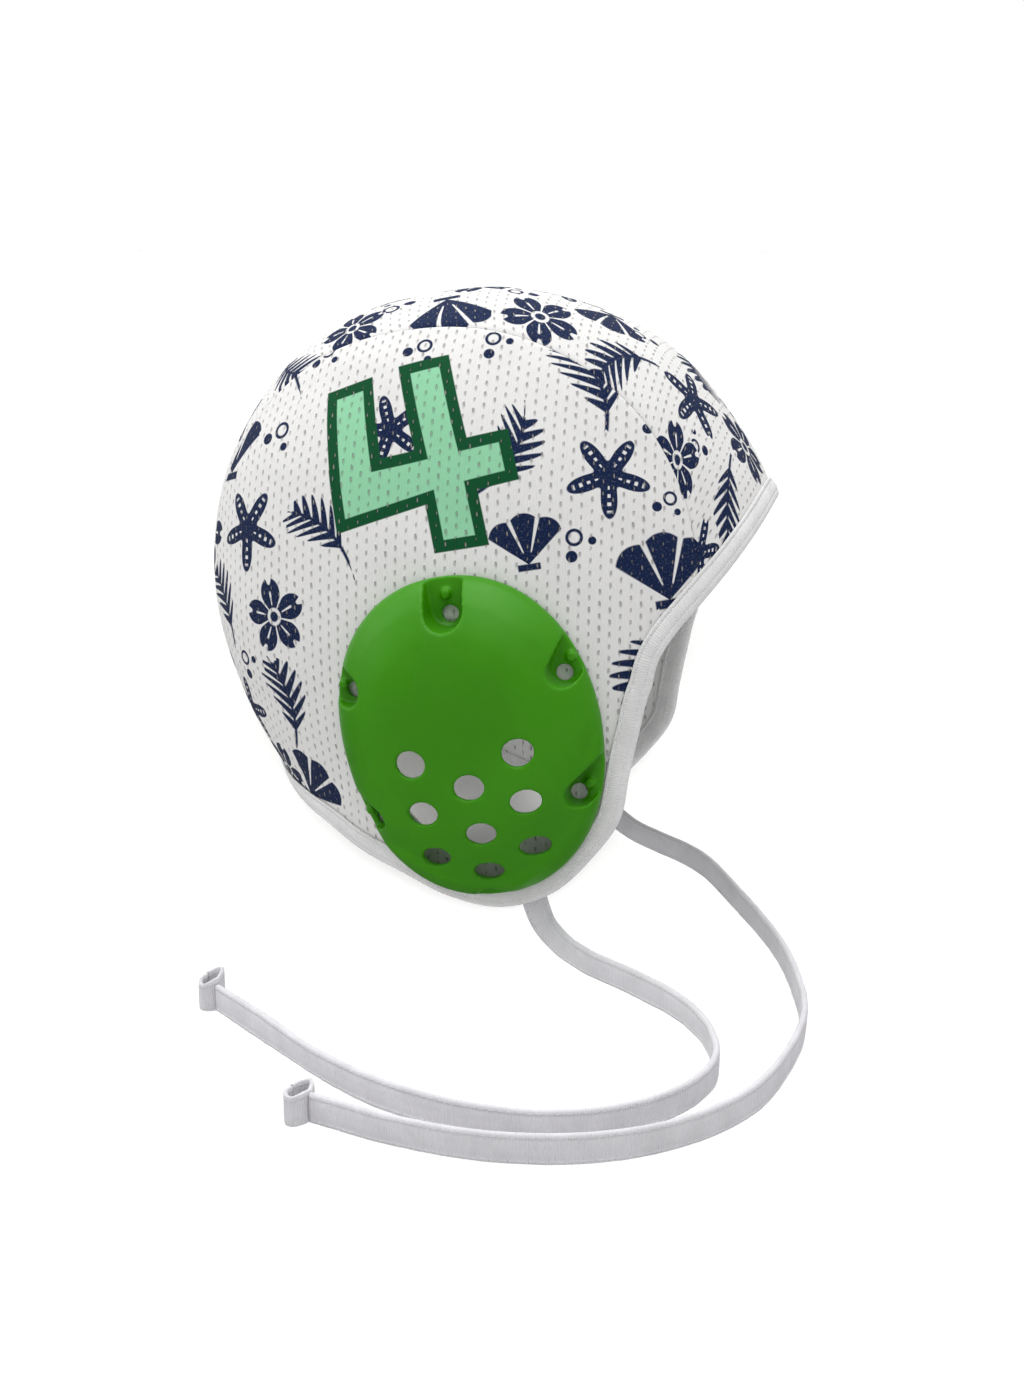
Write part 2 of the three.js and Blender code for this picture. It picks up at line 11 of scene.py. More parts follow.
import bpy
import numpy as np
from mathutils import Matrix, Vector

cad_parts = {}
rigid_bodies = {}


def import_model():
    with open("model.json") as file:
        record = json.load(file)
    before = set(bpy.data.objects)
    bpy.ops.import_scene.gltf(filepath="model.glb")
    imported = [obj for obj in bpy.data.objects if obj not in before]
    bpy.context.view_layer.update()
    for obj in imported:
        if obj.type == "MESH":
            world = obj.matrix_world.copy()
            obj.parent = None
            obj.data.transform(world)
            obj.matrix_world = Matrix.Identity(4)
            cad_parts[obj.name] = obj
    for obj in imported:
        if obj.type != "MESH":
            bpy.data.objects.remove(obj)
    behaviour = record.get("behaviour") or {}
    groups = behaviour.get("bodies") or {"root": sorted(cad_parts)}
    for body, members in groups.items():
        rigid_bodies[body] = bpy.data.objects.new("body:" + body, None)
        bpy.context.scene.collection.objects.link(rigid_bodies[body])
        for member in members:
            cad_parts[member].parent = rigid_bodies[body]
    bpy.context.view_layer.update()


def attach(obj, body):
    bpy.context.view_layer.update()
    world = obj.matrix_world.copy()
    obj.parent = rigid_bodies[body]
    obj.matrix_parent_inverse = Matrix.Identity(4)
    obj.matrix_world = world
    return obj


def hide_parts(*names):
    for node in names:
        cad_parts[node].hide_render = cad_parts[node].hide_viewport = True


bl_info = {
    "name": "Water polo cap",
    "version": (1, 0, 0),
    "blender": (4, 5, 0),
    "location": "3D View > Sidebar > Cap",
    "description": "Builds a soft mesh cap with ear guards and ties",
    "category": "Add Mesh",
}

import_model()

# Outline seen from the side: angle at the ear, reach past the base oval, fullness across
OUTLINE = (
    (-60, 0.947, 2.50), (-30, 1.030, 2.28), (0, 1.040, 2.15), (20, 1.018, 2.26), (40, 1.019, 2.38),
    (60, 1.014, 2.47), (80, 1.000, 2.56), (100, 1.030, 2.58), (120, 1.112, 2.53), (140, 1.146, 2.47),
    (160, 1.085, 2.39), (180, 0.955, 2.30), (205, 0.799, 2.35), (235, 0.772, 2.45), (265, 0.808, 2.58),
)
# Edge of the flaps: share of the way from nape to brow, reach in half guard lengths
EDGE = (
    (0.07, 1.266), (0.14, 1.130), (0.22, 1.046), (0.31, 1.070), (0.40, 1.119), (0.49, 1.112),
    (0.58, 1.061), (0.66, 1.044), (0.74, 0.991), (0.82, 1.017), (0.89, 1.123), (0.95, 1.365),
)
# Half width of the centre panel: angle, share of its half width at the crown
STRIP = ((15, 1.56), (60, 1.19), (100, 1.00), (150, 0.79), (215, 0.78))
# Section of the guard: share of the way out, share of its rise
GUARD_SECTION = ((0, 1.0), (0.35, 0.962), (0.65, 0.827), (0.84, 0.610), (0.93, 0.432), (0.98, 0.270))
# Sound holes of the guard: across and up from its middle
SOUND_HOLES = ((-16.5, -2.4), (19.4, -3.5), (1.6, -12.4), (18.6, -20.2), (-16.0, -19.6), (1.9, -28.8),
               (17.7, -36.6), (-15.8, -35.8), (0.5, -43.2))
# Lacing recesses: middle of the round end across and up, half width, way out, length to the open end,
# how far out its nub is, or 0 for none
RECESSES = (
    (2.6, 44.4, 6.4, 90, 14, 4.6), (37.2, 18.9, 5.2, 57, 16, 3.8), (34.9, -22.2, 4.6, 33, 16, 3.0),
    (-2.0, -57.0, 6.6, -90, 4, 0), (-37.2, -22.2, 4.6, 147, 16, 3.0), (-36.8, 23.0, 5.8, 146, 16, 2.2),
)
# Lace hole in from a recess's middle and its width, width of a nub, height of a recess's floor
LACE_HOLE_IN = 2.2
LACE_HOLE = 5.6
NUB = 3.4
RECESS_FLOOR = 2.4
# Section of the binding: along from the fold, off the cloth
BINDING_SECTION = (
    (-8.0, 0.30), (-8.05, 0.85), (-7.7, 1.12), (-7.2, 1.12), (-6.85, 0.92), (-6.5, 1.10), (-5.6, 1.42),
    (-4.4, 1.62), (-3.4, 1.66), (-3.0, 1.50), (-2.6, 1.66), (-1.8, 1.66), (-1.0, 1.42), (-0.35, 0.85),
    (-0.08, 0.10), (-0.05, -0.7), (-0.3, -1.6), (-0.9, -2.2), (-2.0, -2.6), (-4.0, -2.6), (-6.2, -2.35),
    (-6.8, -2.10), (-7.2, -2.30), (-7.8, -2.25), (-8.05, -1.9), (-8.0, -1.45), (-7.0, -1.35), (-3.0, -1.30),
    (-1.6, -0.6), (-3.0, 0.10), (-7.0, 0.15),
)
# Routes of the ties, from the flap down to the floor and along it
TIE_RIGHT = (
    (19, -67.4, -188), (19.5, -66.2, -195), (20.5, -65.2, -201), (24, -68, -207.5), (31, -75, -211.5),
    (42, -86, -213), (60, -101, -213), (77, -118, -213), (88, -138, -213), (92, -160, -213),
    (86, -179, -213), (72, -195, -213), (52, -204, -213), (28, -203.5, -213), (3, -195, -213),
    (-20, -180, -213), (-44, -159, -213), (-66, -140, -213),
)
TIE_LEFT = (
    (19, 67.4, -188), (19.5, 66.2, -195), (21, 65, -201), (26, 61, -207), (36, 53, -211.5),
    (48, 43, -213), (60, 31, -213), (70, 17, -213), (82, -9, -213), (94, -37, -213),
    (104, -64, -213), (111, -92, -213), (115, -120, -213), (112, -150, -213), (104, -178, -213),
    (88, -200, -213), (66, -214, -213), (40, -219, -213), (14, -216, -213), (-14, -207, -213),
)
# Bars of the number 4, upright about its middle: four corners of each stroke
NUMBER_BARS = (
    ((-28.4, 26.2), (-11.5, 27.6), (-10.8, -18.3), (-29.5, -20.7)),
    ((-29.2, -0.3), (12.0, 0.4), (12.0, -15.9), (-29.5, -20.7)),
    ((-14.0, -0.1), (30.6, 0.9), (31.4, -15.4), (-14.0, -17.2)),
    ((-2.3, 28.8), (14.7, 29.7), (18.9, -14.0), (1.4, -14.0)),
    ((0.6, -2.0), (17.9, -2.0), (18.6, -33.1), (1.2, -32.4)),
)
# Middle of the number on the flat cloth, its size against the bars, its turn in degrees
NUMBER_PLACE = (-21.0, 94.0)
NUMBER_SIZE = 1.062
NUMBER_TURN = 13.0

# Printed motifs: across, up, radius, turn, kind, on a side panel's flat cloth
SIDE_PRINT = (
    (-46, 152, 16, 15, 0), (-8, 158, 15, -50, 1), (28, 150, 15, 40, 2), (4, 132, 8, 80, 5),
    (-24, 128, 8, 20, 5), (-84, 128, 16, 60, 1), (-62, 128, 8, 45, 5), (38, 119, 17, 25, 1),
    (62, 126, 12, 70, 3), (60, 103, 8, 0, 5), (-102, 98, 15, 0, 3), (-76, 97, 9, 20, 5), (80, 95, 17, 0, 0),
    (44, 88, 15, 40, 2), (64, 78, 7, 30, 5), (-30, 101, 13, 20, 2), (10, 92, 15, -30, 1),
    (-52, 66, 14, 55, 1), (18, 66, 11, 10, 3), (36, 64, 8, 80, 5), (-120, 66, 15, -25, 0),
    (-86, 66, 16, 35, 2), (94, 66, 16, -30, 1), (64, 58, 15, 10, 3), (82, 44, 8, 60, 5),
    (-104, 38, 16, 30, 1), (-72, 36, 14, -60, 0), (-88, 16, 8, 90, 5), (62, 28, 16, 130, 1),
    (100, 36, 14, 20, 2), (-122, 10, 13, 5, 3), (-70, 4, 16, 10, 1), (-100, -4, 15, 60, 2),
    (78, 0, 15, -20, 0), (104, 6, 13, 80, 1), (56, -8, 8, 30, 5), (-64, -26, 13, -35, 3),
    (-88, -30, 16, 50, 0), (-116, -28, 13, 15, 1), (64, -34, 14, 25, 2), (-72, -54, 15, 60, 1),
    (-100, -58, 14, 0, 2), (-50, -66, 12, -10, 0), (44, -62, 13, 0, 3), (-48, -44, 7, 0, 5),
    (86, -26, 13, 10, 1), (-80, -80, 13, 40, 3), (0, -76, 13, 40, 1),
)
# The same on the centre panel: along from the brow, to the wearer's right, radius, turn, kind
STRIP_PRINT = (
    (16, 38, 15, 40, 1), (20, 8, 15, -10, 0), (18, -24, 15, 150, 1), (14, -54, 13, 20, 3),
    (14, 62, 12, 0, 2), (34, -8, 7, 0, 5), (44, 52, 13, 70, 0), (46, 24, 15, 60, 2), (38, 38, 7, 30, 5),
    (52, -8, 16, 30, 1), (46, -38, 15, 0, 3), (76, 36, 16, -40, 1), (72, 6, 8, 20, 5), (80, -30, 16, 80, 0),
    (84, 12, 13, 10, 3), (60, -24, 7, 60, 5), (104, -6, 15, 15, 2), (108, 32, 15, 0, 0),
    (100, -40, 8, 45, 5), (116, 12, 8, 0, 5), (124, -30, 15, -20, 1), (134, 4, 15, 60, 0),
    (140, 34, 14, 10, 3), (152, -16, 8, 80, 5), (160, 20, 9, 20, 5), (160, -34, 14, 0, 2),
    (170, 0, 16, 30, 1), (176, 30, 13, 40, 0), (192, -22, 15, -60, 3), (196, 8, 8, 0, 5),
    (204, 26, 15, 20, 1), (216, -4, 15, 70, 0), (224, -30, 12, 10, 2), (234, 18, 14, 0, 2),
    (246, -10, 8, 50, 5), (252, -26, 13, -30, 1), (260, 8, 15, 45, 1), (274, -14, 13, 15, 0),
    (280, 22, 13, 0, 3), (296, 2, 14, 60, 2), (304, -24, 12, -45, 1), (314, 20, 12, 0, 1),
    (326, -4, 14, 30, 0), (342, 18, 8, 70, 5), (346, -18, 12, 10, 3), (358, 4, 14, 0, 1),
    (376, -14, 12, 40, 2), (380, 14, 12, 0, 0), (398, 0, 12, 20, 1),
)
# Width of a tile in the atlas of motifs, its reach about a motif, and its empty tile
ATLAS_STEP = 4.0
TILE_REACH = 1.9
BLANK = 7
# How far past a motif's radius its tile still holds, in millimetres
MOTIF_ROOM = 5


def length_prop(name, text, metres):
    """A length that a user can set."""
    return bpy.props.FloatProperty(name=name, description=text, default=metres, unit="LENGTH")


def angle_prop(name, text, degrees):
    """An angle that a user can set."""
    return bpy.props.FloatProperty(
        name=name, description=text, default=math.radians(degrees), subtype="ANGLE")


def number_prop(name, text, value):
    """A plain number that a user can set."""
    return bpy.props.FloatProperty(name=name, description=text, default=value)


def colour_prop(name, text, value):
    """A colour that a user can set."""
    return bpy.props.FloatVectorProperty(
        name=name, description=text, subtype="COLOR", size=3, default=value, min=0, max=1)


class CapSizes(bpy.types.PropertyGroup):
    """Sizes of the cap's form."""
    length: length_prop("Length", "Base oval from brow to back of the head", 0.208)
    width: length_prop("Width", "Over the ears", 0.150)
    depth: length_prop("Depth", "Crown down to the line through both ears", 0.142)
    strip: length_prop("Centre panel", "Width of the centre panel at the crown", 0.078)
    cloth: length_prop("Cloth", "Thickness of the mesh cloth", 0.0012)
    brow: angle_prop("Brow", "Up from the ear line to the brow", 37.6)
    nape: angle_prop("Nape", "Round over the crown to the nape", 200.3)


class GuardSizes(bpy.types.PropertyGroup):
    """Sizes of the moulded ear guards."""
    length: length_prop("Length", "Top to bottom", 0.109)
    width: length_prop("Width", "Front to back", 0.089)
    rise: length_prop("Rise", "Height over the cloth", 0.0185)
    tilt: angle_prop("Tilt", "Foot forward", 11.3)
    corner: number_prop("Fullness", "2 is an ellipse, more is fuller", 2.15)
    wall: length_prop("Wall", "Thickness", 0.0022)
    foot: length_prop("Foot", "Height of the edge", 0.0026)
    opening: number_prop("Ear opening", "In the side panel, share of the guard", 0.72)
    hole: length_prop("Sound hole", "Width", 0.0102)
    fine: length_prop("Fineness", "Size of a facet", 0.00058)


class TieSizes(bpy.types.PropertyGroup):
    """Sizes of the ties."""
    width: length_prop("Width", "Of the tape", 0.009)
    thickness: length_prop("Thickness", "Of the folded tape", 0.002)
    loop: length_prop("Loop", "Outside width of the loop", 0.007)
    loop_wall: length_prop("Loop wall", "Thickness of the loop's tape", 0.0014)


class CapColours(bpy.types.PropertyGroup):
    """Colours of the finishes."""
    cloth: colour_prop("Cloth", "Mesh cloth", (0.745, 0.74, 0.73))
    # Painted shade inside the eyelets; on the print the same grey also stands for the paler unprinted cloth
    # in them.
    eyelet_shade: colour_prop("Eyelet shade", "Inside the eyelets of the mesh", (0.30, 0.29, 0.28))
    navy: colour_prop("Print", "Printed motifs", (0.004, 0.014, 0.058))
    outline: colour_prop("Number outline", "Edge of the number", (0.003, 0.074, 0.024))
    mint: colour_prop("Number", "Fill of the number", (0.27, 0.60, 0.37))
    guard: colour_prop("Guards", "Moulded plastic", (0.045, 0.275, 0.0))
    binding: colour_prop("Binding", "Tape round the edge", (0.79, 0.785, 0.785))
    tie: colour_prop("Ties", "Tape of the ties", (0.72, 0.71, 0.74))


class StageSettings(bpy.types.PropertyGroup):
    """Floor, light and camera."""
    azimuth: angle_prop("Azimuth", "Camera round the cap", 12.0)
    elevation: angle_prop("Elevation", "Camera above the horizon", 13.7)
    distance: length_prop("Distance", "Camera to the cap", 0.702)
    light: number_prop("Light", "Strength of the soft boxes", 1.0)


def curve(rows):
    """Smooth curve through rows of place and value."""
    xs, ys = np.array(rows, float).T
    last = len(xs) - 1
    before = np.maximum(np.arange(last + 1) - 1, 0)
    after = np.minimum(np.arange(last + 1) + 1, last)
    slope = (ys[after] - ys[before]) / (xs[after] - xs[before])

    def at(x):
        x = np.asarray(x, float)
        i = np.clip(np.searchsorted(xs, x, side="right") - 1, 0, last - 1)
        h = xs[i + 1] - xs[i]
        t = (x - xs[i]) / h
        return ((2 * t**3 - 3 * t**2 + 1) * ys[i] + (t**3 - 2 * t**2 + t) * h * slope[i]
                + (3 * t**2 - 2 * t**3) * ys[i + 1] + (t**3 - t**2) * h * slope[i + 1])
    return at


def unit(v):
    """Vectors of length 1."""
    return v / np.maximum(np.linalg.norm(v, axis=-1, keepdims=True), 1e-12)


def smooth(t):
    """Eased step from 0 to 1."""
    t = np.clip(t, 0, 1)
    return t * t * (3 - 2 * t)


def run(line):
    """Length along a line, at each of its points."""
    return np.concatenate([[0], np.cumsum(np.linalg.norm(np.diff(line, axis=0), axis=1))])


def spread(line, angles, shares):
    """Angles at shares of the length of a line that runs over the given angles."""
    length = run(line(angles))
    return np.interp(shares * length[-1], length, angles)


def crossing(f, start, step):
    """First change of sign of f met in steps from start."""
    lo = start
    while (f(lo + step) > 0) == (f(start) > 0):
        lo += step
    hi = lo + step
    for _ in range(40):
        mid = (lo + hi) / 2
        if (f(mid) > 0) == (f(lo) > 0):
            lo = mid
        else:
            hi = mid
    return (lo + hi) / 2


def ripple(p, wave, seed):
    """Gentle unevenness from -1 to 1 over points, about one wave long."""
    dice = np.random.default_rng(seed)
    total = np.zeros(p.shape[:-1])
    for _ in range(7):
        way = unit(dice.normal(size=3)) * dice.uniform(0.7, 1.5)
        total += np.sin(p @ way * (2 * math.pi / wave) + dice.uniform(0, 2 * math.pi))
    return total / 7 * 1.6


class CapForm:
    """The cap's outer surface, its edge and its seams."""

    def __init__(self, scene):
        size, guard = scene.cap_sizes, scene.cap_guard
        self.long, self.half, self.deep = size.length * 500, size.width * 500, size.depth * 1000
        self.cloth = size.cloth * 1000
        self.brow, self.nape = math.degrees(size.brow), math.degrees(size.nape)
        rows = np.array(OUTLINE)
        turn = np.array([360, 0, 0])
        rows = np.vstack([rows[-2:] - turn, rows, rows[:2] + turn])
        self._reach, self._full = curve(rows[:, :2]), curve(rows[:, [0, 2]])
        self.ear = self.cloth - float(self.middle(90))
        share = curve(STRIP)
        self.strip_half = lambda angle: share(angle) * size.strip * 500
        self.guard_half = (guard.width * 500, guard.length * 500)
        self.tilt, self.corner = guard.tilt, guard.corner
        self._trace_edge()

    def _in_table(self, angle):
        return OUTLINE[0][0] + np.mod(np.asarray(angle, float) - OUTLINE[0][0], 360)

    def middle(self, angle):
        """Reach of the outline from the ear at an angle."""
        a = np.radians(angle)
        bend = np.hypot(np.cos(a) / self.long, np.sin(a) / self.deep)
        return self._reach(self._in_table(angle)) / bend

    def fullness(self, angle):
        """Fullness of the form across at an angle."""
        return self._full(self._in_table(angle))

    def polar(self, x, z):
        """Angle and reach from the ear of points seen from the side."""
        return np.degrees(np.arctan2(z - self.ear, x)), np.hypot(x, z - self.ear)

    def skin(self, x, z):
        """Half width of the cap at points seen from the side."""
        angle, r = self.polar(x, z)
        n = self.fullness(angle)
        return self.half * np.maximum(0, 1 - (r / self.middle(angle))**n)**(1 / n)

    def radius(self, angle, y):
        """Reach from the ear of the skin at a place across."""
        n = self.fullness(angle)
        return self.middle(angle) * np.maximum(0, 1 - (np.abs(y) / self.half)**n)**(1 / n)

    def from_ear(self, angle, r, y):
        """Points from their angle and reach at the ear and their place across."""
        a = np.radians(angle)
        return np.stack(np.broadcast_arrays(r * np.cos(a), y, self.ear + r * np.sin(a)), -1)

    def on_skin(self, angle, r):
        """Points of the right side's skin."""
        p = self.from_ear(angle, r, 0.0)
        p[..., 1] = -self.skin(p[..., 0], p[..., 2])
        return p

    def level(self, p):
        """Less than 0 inside the form, 0 on its skin and more outside."""
        angle, r = self.polar(p[..., 0], p[..., 2])
        n = self.fullness(angle)
        return ((r / self.middle(angle))**n + (np.abs(p[..., 1]) / self.half)**n)**(1 / n) - 1

    def slope(self, p):
        """Way in which the level rises."""
        steps = np.eye(3) * 0.05
        return np.stack([(self.level(p + s) - self.level(p - s)) / 0.1 for s in steps], -1)

    def settled(self, p, off=0.0):
        """Points moved onto the skin, then off it."""
        q = np.array(p, float)
        for _ in range(4):
            s = self.slope(q)
            q = q - s * (self.level(q) / np.sum(s * s, -1))[..., None]
        return q + unit(self.slope(q)) * np.asarray(off, float)[..., None]

    def _trace_edge(self):
        """Works out the edge of the cap and where its cloth ends."""
        start = self.nape - 360
        rows = [(0, float(self.middle(start))), *((w, r * self.guard_half[1]) for w, r in EDGE),
                (1, float(self.middle(self.brow)))]
        reach = curve(rows)
        self.edge_radius = lambda a: np.minimum(reach((a - start) / (self.brow - start)), self.middle(a))
        i = np.linspace(0, math.pi, 1201)
        angle = start + (self.brow - start) * (1 - np.cos(i)) / 2
        side = self.on_skin(angle, self.edge_radius(angle))
        side[[0, -1], 1] = 0
        line = np.vstack([side, side[-2:0:-1] * (1, -1, 1), side[:1]])
        length = run(line)
        self.edge_length = length[-1]
        self._edge = lambda share: np.stack(
            [np.interp(np.mod(share, 1), length / length[-1], line[:, k]) for k in range(3)], -1)
        hem = self.beside_edge(np.linspace(0, 0.5, 401), -2.0, 0.0)
        angle, r = self.polar(hem[:, 0], hem[:, 2])
        angle = np.where(angle > 90, angle - 360, angle)
        far = 2 * self.deep
        self.cloth_radius = lambda a: np.interp(a, angle, r, left=far, right=far)

    def beside_edge(self, share, along, off):
        """Points beside the edge: along is less than 0 on the cloth."""
        p = self.settled(self._edge(share))
        ahead = unit(self._edge(share + 0.001) - self._edge(share - 0.001))
        out = unit(np.cross(ahead, unit(self.slope(p))))
        return self.settled(p + out * np.asarray(along, float)[..., None], off)

    def to_edge(self, p):
        """Rough distance from points to the edge of the cap."""
        angle, r = self.polar(p[..., 0], p[..., 2])
        inside = (angle > self.nape - 360) & (angle < self.brow)
        return np.where(inside, self.edge_radius(angle) - r, 60.0)

    def seam(self, angle, beside):
        """Reach of the seam between the panels, or of a line beside it."""
        return self.radius(angle, self.strip_half(angle) + beside)

    def in_guard(self, x, z):
        """Points seen from the side, in the guard's own upright frame."""
        c, s = math.cos(self.tilt), math.sin(self.tilt)
        z = z - self.ear
        return x * c + z * s, z * c - x * s

    def from_guard(self, u, w):
        """Points of the guard's own frame, seen from the side."""
        c, s = math.cos(self.tilt), math.sin(self.tilt)
        return u * c - w * s, self.ear + u * s + w * c

    def guard_share(self, u, w):
        """Share of the way from the guard's middle to its edge."""
        n = self.corner
        return ((np.abs(u) / self.guard_half[0])**n + (np.abs(w) / self.guard_half[1])**n)**(1 / n)

    def guard_rim(self, angle, share):
        """Points of the guard's own frame at a share of the way out."""
        a = np.radians(angle)
        r = share / self.guard_share(np.cos(a), np.sin(a))
        return r * np.cos(a), r * np.sin(a)

    def flat(self, p):
        """Where points lie on the side panel's cloth when it is flat: across and up from the ear."""
        angle, r = self.polar(p[..., 0], p[..., 2])
        middle, n = self.middle(angle)[..., None], self.fullness(angle)[..., None]
        q = r[..., None] * np.linspace(0, 1, 160)
        y = self.half * np.maximum(0, 1 - (q / middle)**n)**(1 / n)
        s = np.sum(np.hypot(np.diff(q, axis=-1), np.diff(y, axis=-1)), -1)
        a = np.radians(angle)
        return np.stack([s * np.cos(a), s * np.sin(a)], -1)


def quads(rows, columns, round_rows=False, round_columns=False):
    """Faces of a grid of points, listed row by row."""
    i = np.arange(rows if round_rows else rows - 1)
    j = np.arange(columns if round_columns else columns - 1)
    i, j = np.meshgrid(i, j, indexing="ij")
    i2, j2 = (i + 1) % rows, (j + 1) % columns
    ring = (i * columns + j, i * columns + j2, i2 * columns + j2, i2 * columns + j)
    return np.stack(ring, -1).reshape(-1, 4)


def capped(rows, columns):
    """Faces of rings of points, listed ring by ring, with both ends closed."""
    ring = np.arange(columns)
    return [*quads(rows, columns, round_columns=True), ring[::-1], ring + (rows - 1) * columns]


def add_mesh(name, points, faces):
    """An object from points in millimetres."""
    mesh = bpy.data.meshes.new(name)
    points = np.asarray(points).reshape(-1, 3) / 1000
    mesh.from_pydata(points.tolist(), [], [list(map(int, f)) for f in faces])
    obj = bpy.data.objects.new(name, mesh)
    bpy.context.scene.collection.objects.link(obj)
    return obj


def new_piece(name, points, faces, finishes, node):
    """A piece of the cap from points in millimetres, in place of a CAD node."""
    obj = add_mesh(name, points, faces)
    obj.data.shade_smooth()
    for finish in finishes:
        obj.data.materials.append(bpy.data.materials[finish])
    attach(obj, "root")
    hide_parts(node)
    return obj


def only(obj):
    """Selects one object alone."""
    bpy.ops.object.select_all(action="DESELECT")
    bpy.context.view_layer.objects.active = obj
    obj.select_set(True)


def face_outwards(obj, flat=False):
    """Turns all faces outwards, and cuts them into flat triangles if asked."""
    only(obj)
    bpy.ops.object.mode_set(mode="EDIT")
    bpy.ops.mesh.select_all(action="SELECT")
    bpy.ops.mesh.normals_make_consistent(inside=False)
    if flat:
        bpy.ops.mesh.quads_convert_to_tris()
    bpy.ops.object.mode_set(mode="OBJECT")


def finish_modifiers(obj):
    """Applies an object's modifiers in order."""
    only(obj)
    for modifier in list(obj.modifiers):
        bpy.ops.object.modifier_apply(modifier=modifier.name)


def set_map(obj, name, values):
    """A UV map from a value for each corner of each face."""
    layer = obj.data.uv_layers.new(name=name)
    layer.uv.foreach_set("vector", np.asarray(values, np.float32).ravel())


def corners(obj):
    """Vertex of each face corner."""
    found = np.zeros(len(obj.data.loops), np.int32)
    obj.data.loops.foreach_get("vertex_index", found)
    return found


def print_map(flat_corners, table):
    """Each face takes the nearest motif's own frame, in that kind's tile of the atlas."""
    table = np.array(table, float)
    centre = flat_corners.mean(1)
    apart = np.linalg.norm(centre[:, None] - table[None, :, :2], axis=-1) - table[:, 2]
    nearest = np.argmin(apart, 1)
    across, up, radius, turn, kind = table[nearest].T
    kind = np.where(apart.min(1) > MOTIF_ROOM, BLANK, kind)
    a = np.radians(turn)[:, None]
    du = (flat_corners[..., 0] - across[:, None]) / radius[:, None]
    dv = (flat_corners[..., 1] - up[:, None]) / radius[:, None]
    u = np.clip(du * np.cos(a) + dv * np.sin(a), -TILE_REACH, TILE_REACH)
    v = np.clip(dv * np.cos(a) - du * np.sin(a), -TILE_REACH, TILE_REACH)
    return np.stack([u + ATLAS_STEP * kind[:, None], v], -1)


def sums(operation, swapped=False):
    """A Python operator or method that adds a math node."""
    def method(self, other=0.0):
        a, b = (other, self) if swapped else (self, other)
        return self.n.math(operation, a, b)
    return method


class Value:
    """An output of a node, so that the sums of a material are written as sums."""

    def __init__(self, n, socket):
        self.n, self.socket = n, socket

    __add__ = __radd__ = sums("ADD")
    __mul__ = __rmul__ = sums("MULTIPLY")
    __sub__ = sums("SUBTRACT")
    __rsub__ = sums("SUBTRACT", swapped=True)
    __truediv__ = sums("DIVIDE")
    __mod__ = sums("FLOORED_MODULO")
    __pow__ = sums("POWER")
    __abs__ = sums("ABSOLUTE")
    floor, fract, root, cos = sums("FLOOR"), sums("FRACT"), sums("SQRT"), sums("COSINE")
    most, least, turn = sums("MAXIMUM"), sums("MINIMUM"), sums("ARCTAN2")


class Tree:
    """Short calls for the nodes of a material or group."""

    def __init__(self, tree):
        self.tree = tree

    def add(self, kind, inputs=(), **settings):
        node = self.tree.nodes.new(kind)
        for key, value in settings.items():
            setattr(node, key, value)
        for key, value in dict(inputs).items():
            self.join(value, node.inputs[key])
        return node

    def out(self, which, kind, inputs=(), **settings):
        """One output of a new node, by its name or number."""
        return Value(self, self.add(kind, inputs, **settings).outputs[which])

    def join(self, value, socket):
        if isinstance(value, Value):
            self.tree.links.new(value.socket, socket)
        elif socket.type == "RGBA":
            socket.default_value = (*value, 1)
        else:
            socket.default_value = value

    def math(self, operation, a, b=0.0, c=0.0):
        return self.out(0, "ShaderNodeMath", {0: a, 1: b, 2: c}, operation=operation)

    def vector(self, operation, a, b, out="Vector"):
        return self.out(out, "ShaderNodeVectorMath", {0: a, 1: b}, operation=operation)

    def steps(self, value, low, high, to_low=0.0, to_high=1.0):
        """Value eased from one range to another."""
        return self.out(0, "ShaderNodeMapRange", {"Value": value, "From Min": low, "From Max": high,
                        "To Min": to_low, "To Max": to_high}, interpolation_type="SMOOTHSTEP")

    def fall(self, value, low, high):
        """Value eased from 1 down to 0."""
        return self.steps(value, low, high, 1.0, 0.0)

    def mix(self, factor, a, b):
        return self.out(2, "ShaderNodeMix", {0: factor, 6: a, 7: b}, data_type="RGBA")

    def split(self, vector):
        node = self.add("ShaderNodeSeparateXYZ", {0: vector})
        return [Value(self, socket) for socket in node.outputs]

    def noise(self, vector, scale, detail=2.0, rough=0.5):
        return self.out("Fac", "ShaderNodeTexNoise", {
            "Vector": vector, "Scale": scale, "Detail": detail, "Roughness": rough})

    def ribs(self, vector, scale, uneven, detail, fine):
        """Wavy ribs across the first axis."""
        inputs = {"Vector": vector, "Scale": scale, "Distortion": uneven, "Detail": detail,
                  "Detail Scale": fine}
        return self.out("Fac", "ShaderNodeTexWave", inputs, wave_type="BANDS", bands_direction="X")

    def map(self, name):
        """The piece's own UV map."""
        return self.out(0, "ShaderNodeUVMap", uv_map=name)

    def group(self, name, inputs):
        node = self.add("ShaderNodeGroup", node_tree=bpy.data.node_groups[name])
        for key, value in inputs.items():
            self.join(value, node.inputs[key])
        return {socket.name: Value(self, socket) for socket in node.outputs}

    def bump(self, height, depth, shader):
        """Puts a height, in metres of depth, on a shader."""
        self.join(self.out(0, "ShaderNodeBump", {"Height": height, "Distance": depth}), shader["Normal"])


def new_group(name, inputs, outputs):
    """A shader group with named sockets: its tree, its inputs and its outputs."""
    tree = bpy.data.node_groups.new(name, "ShaderNodeTree")
    for key in inputs:
        kind = "NodeSocketVector" if key == "Vector" else "NodeSocketFloat"
        tree.interface.new_socket(name=key, in_out="INPUT", socket_type=kind)
    for key in outputs:
        tree.interface.new_socket(name=key, in_out="OUTPUT", socket_type="NodeSocketFloat")
    n = Tree(tree)
    given = n.add("NodeGroupInput").outputs
    return n, {key: Value(n, given[key]) for key in inputs}, n.add("NodeGroupOutput").inputs


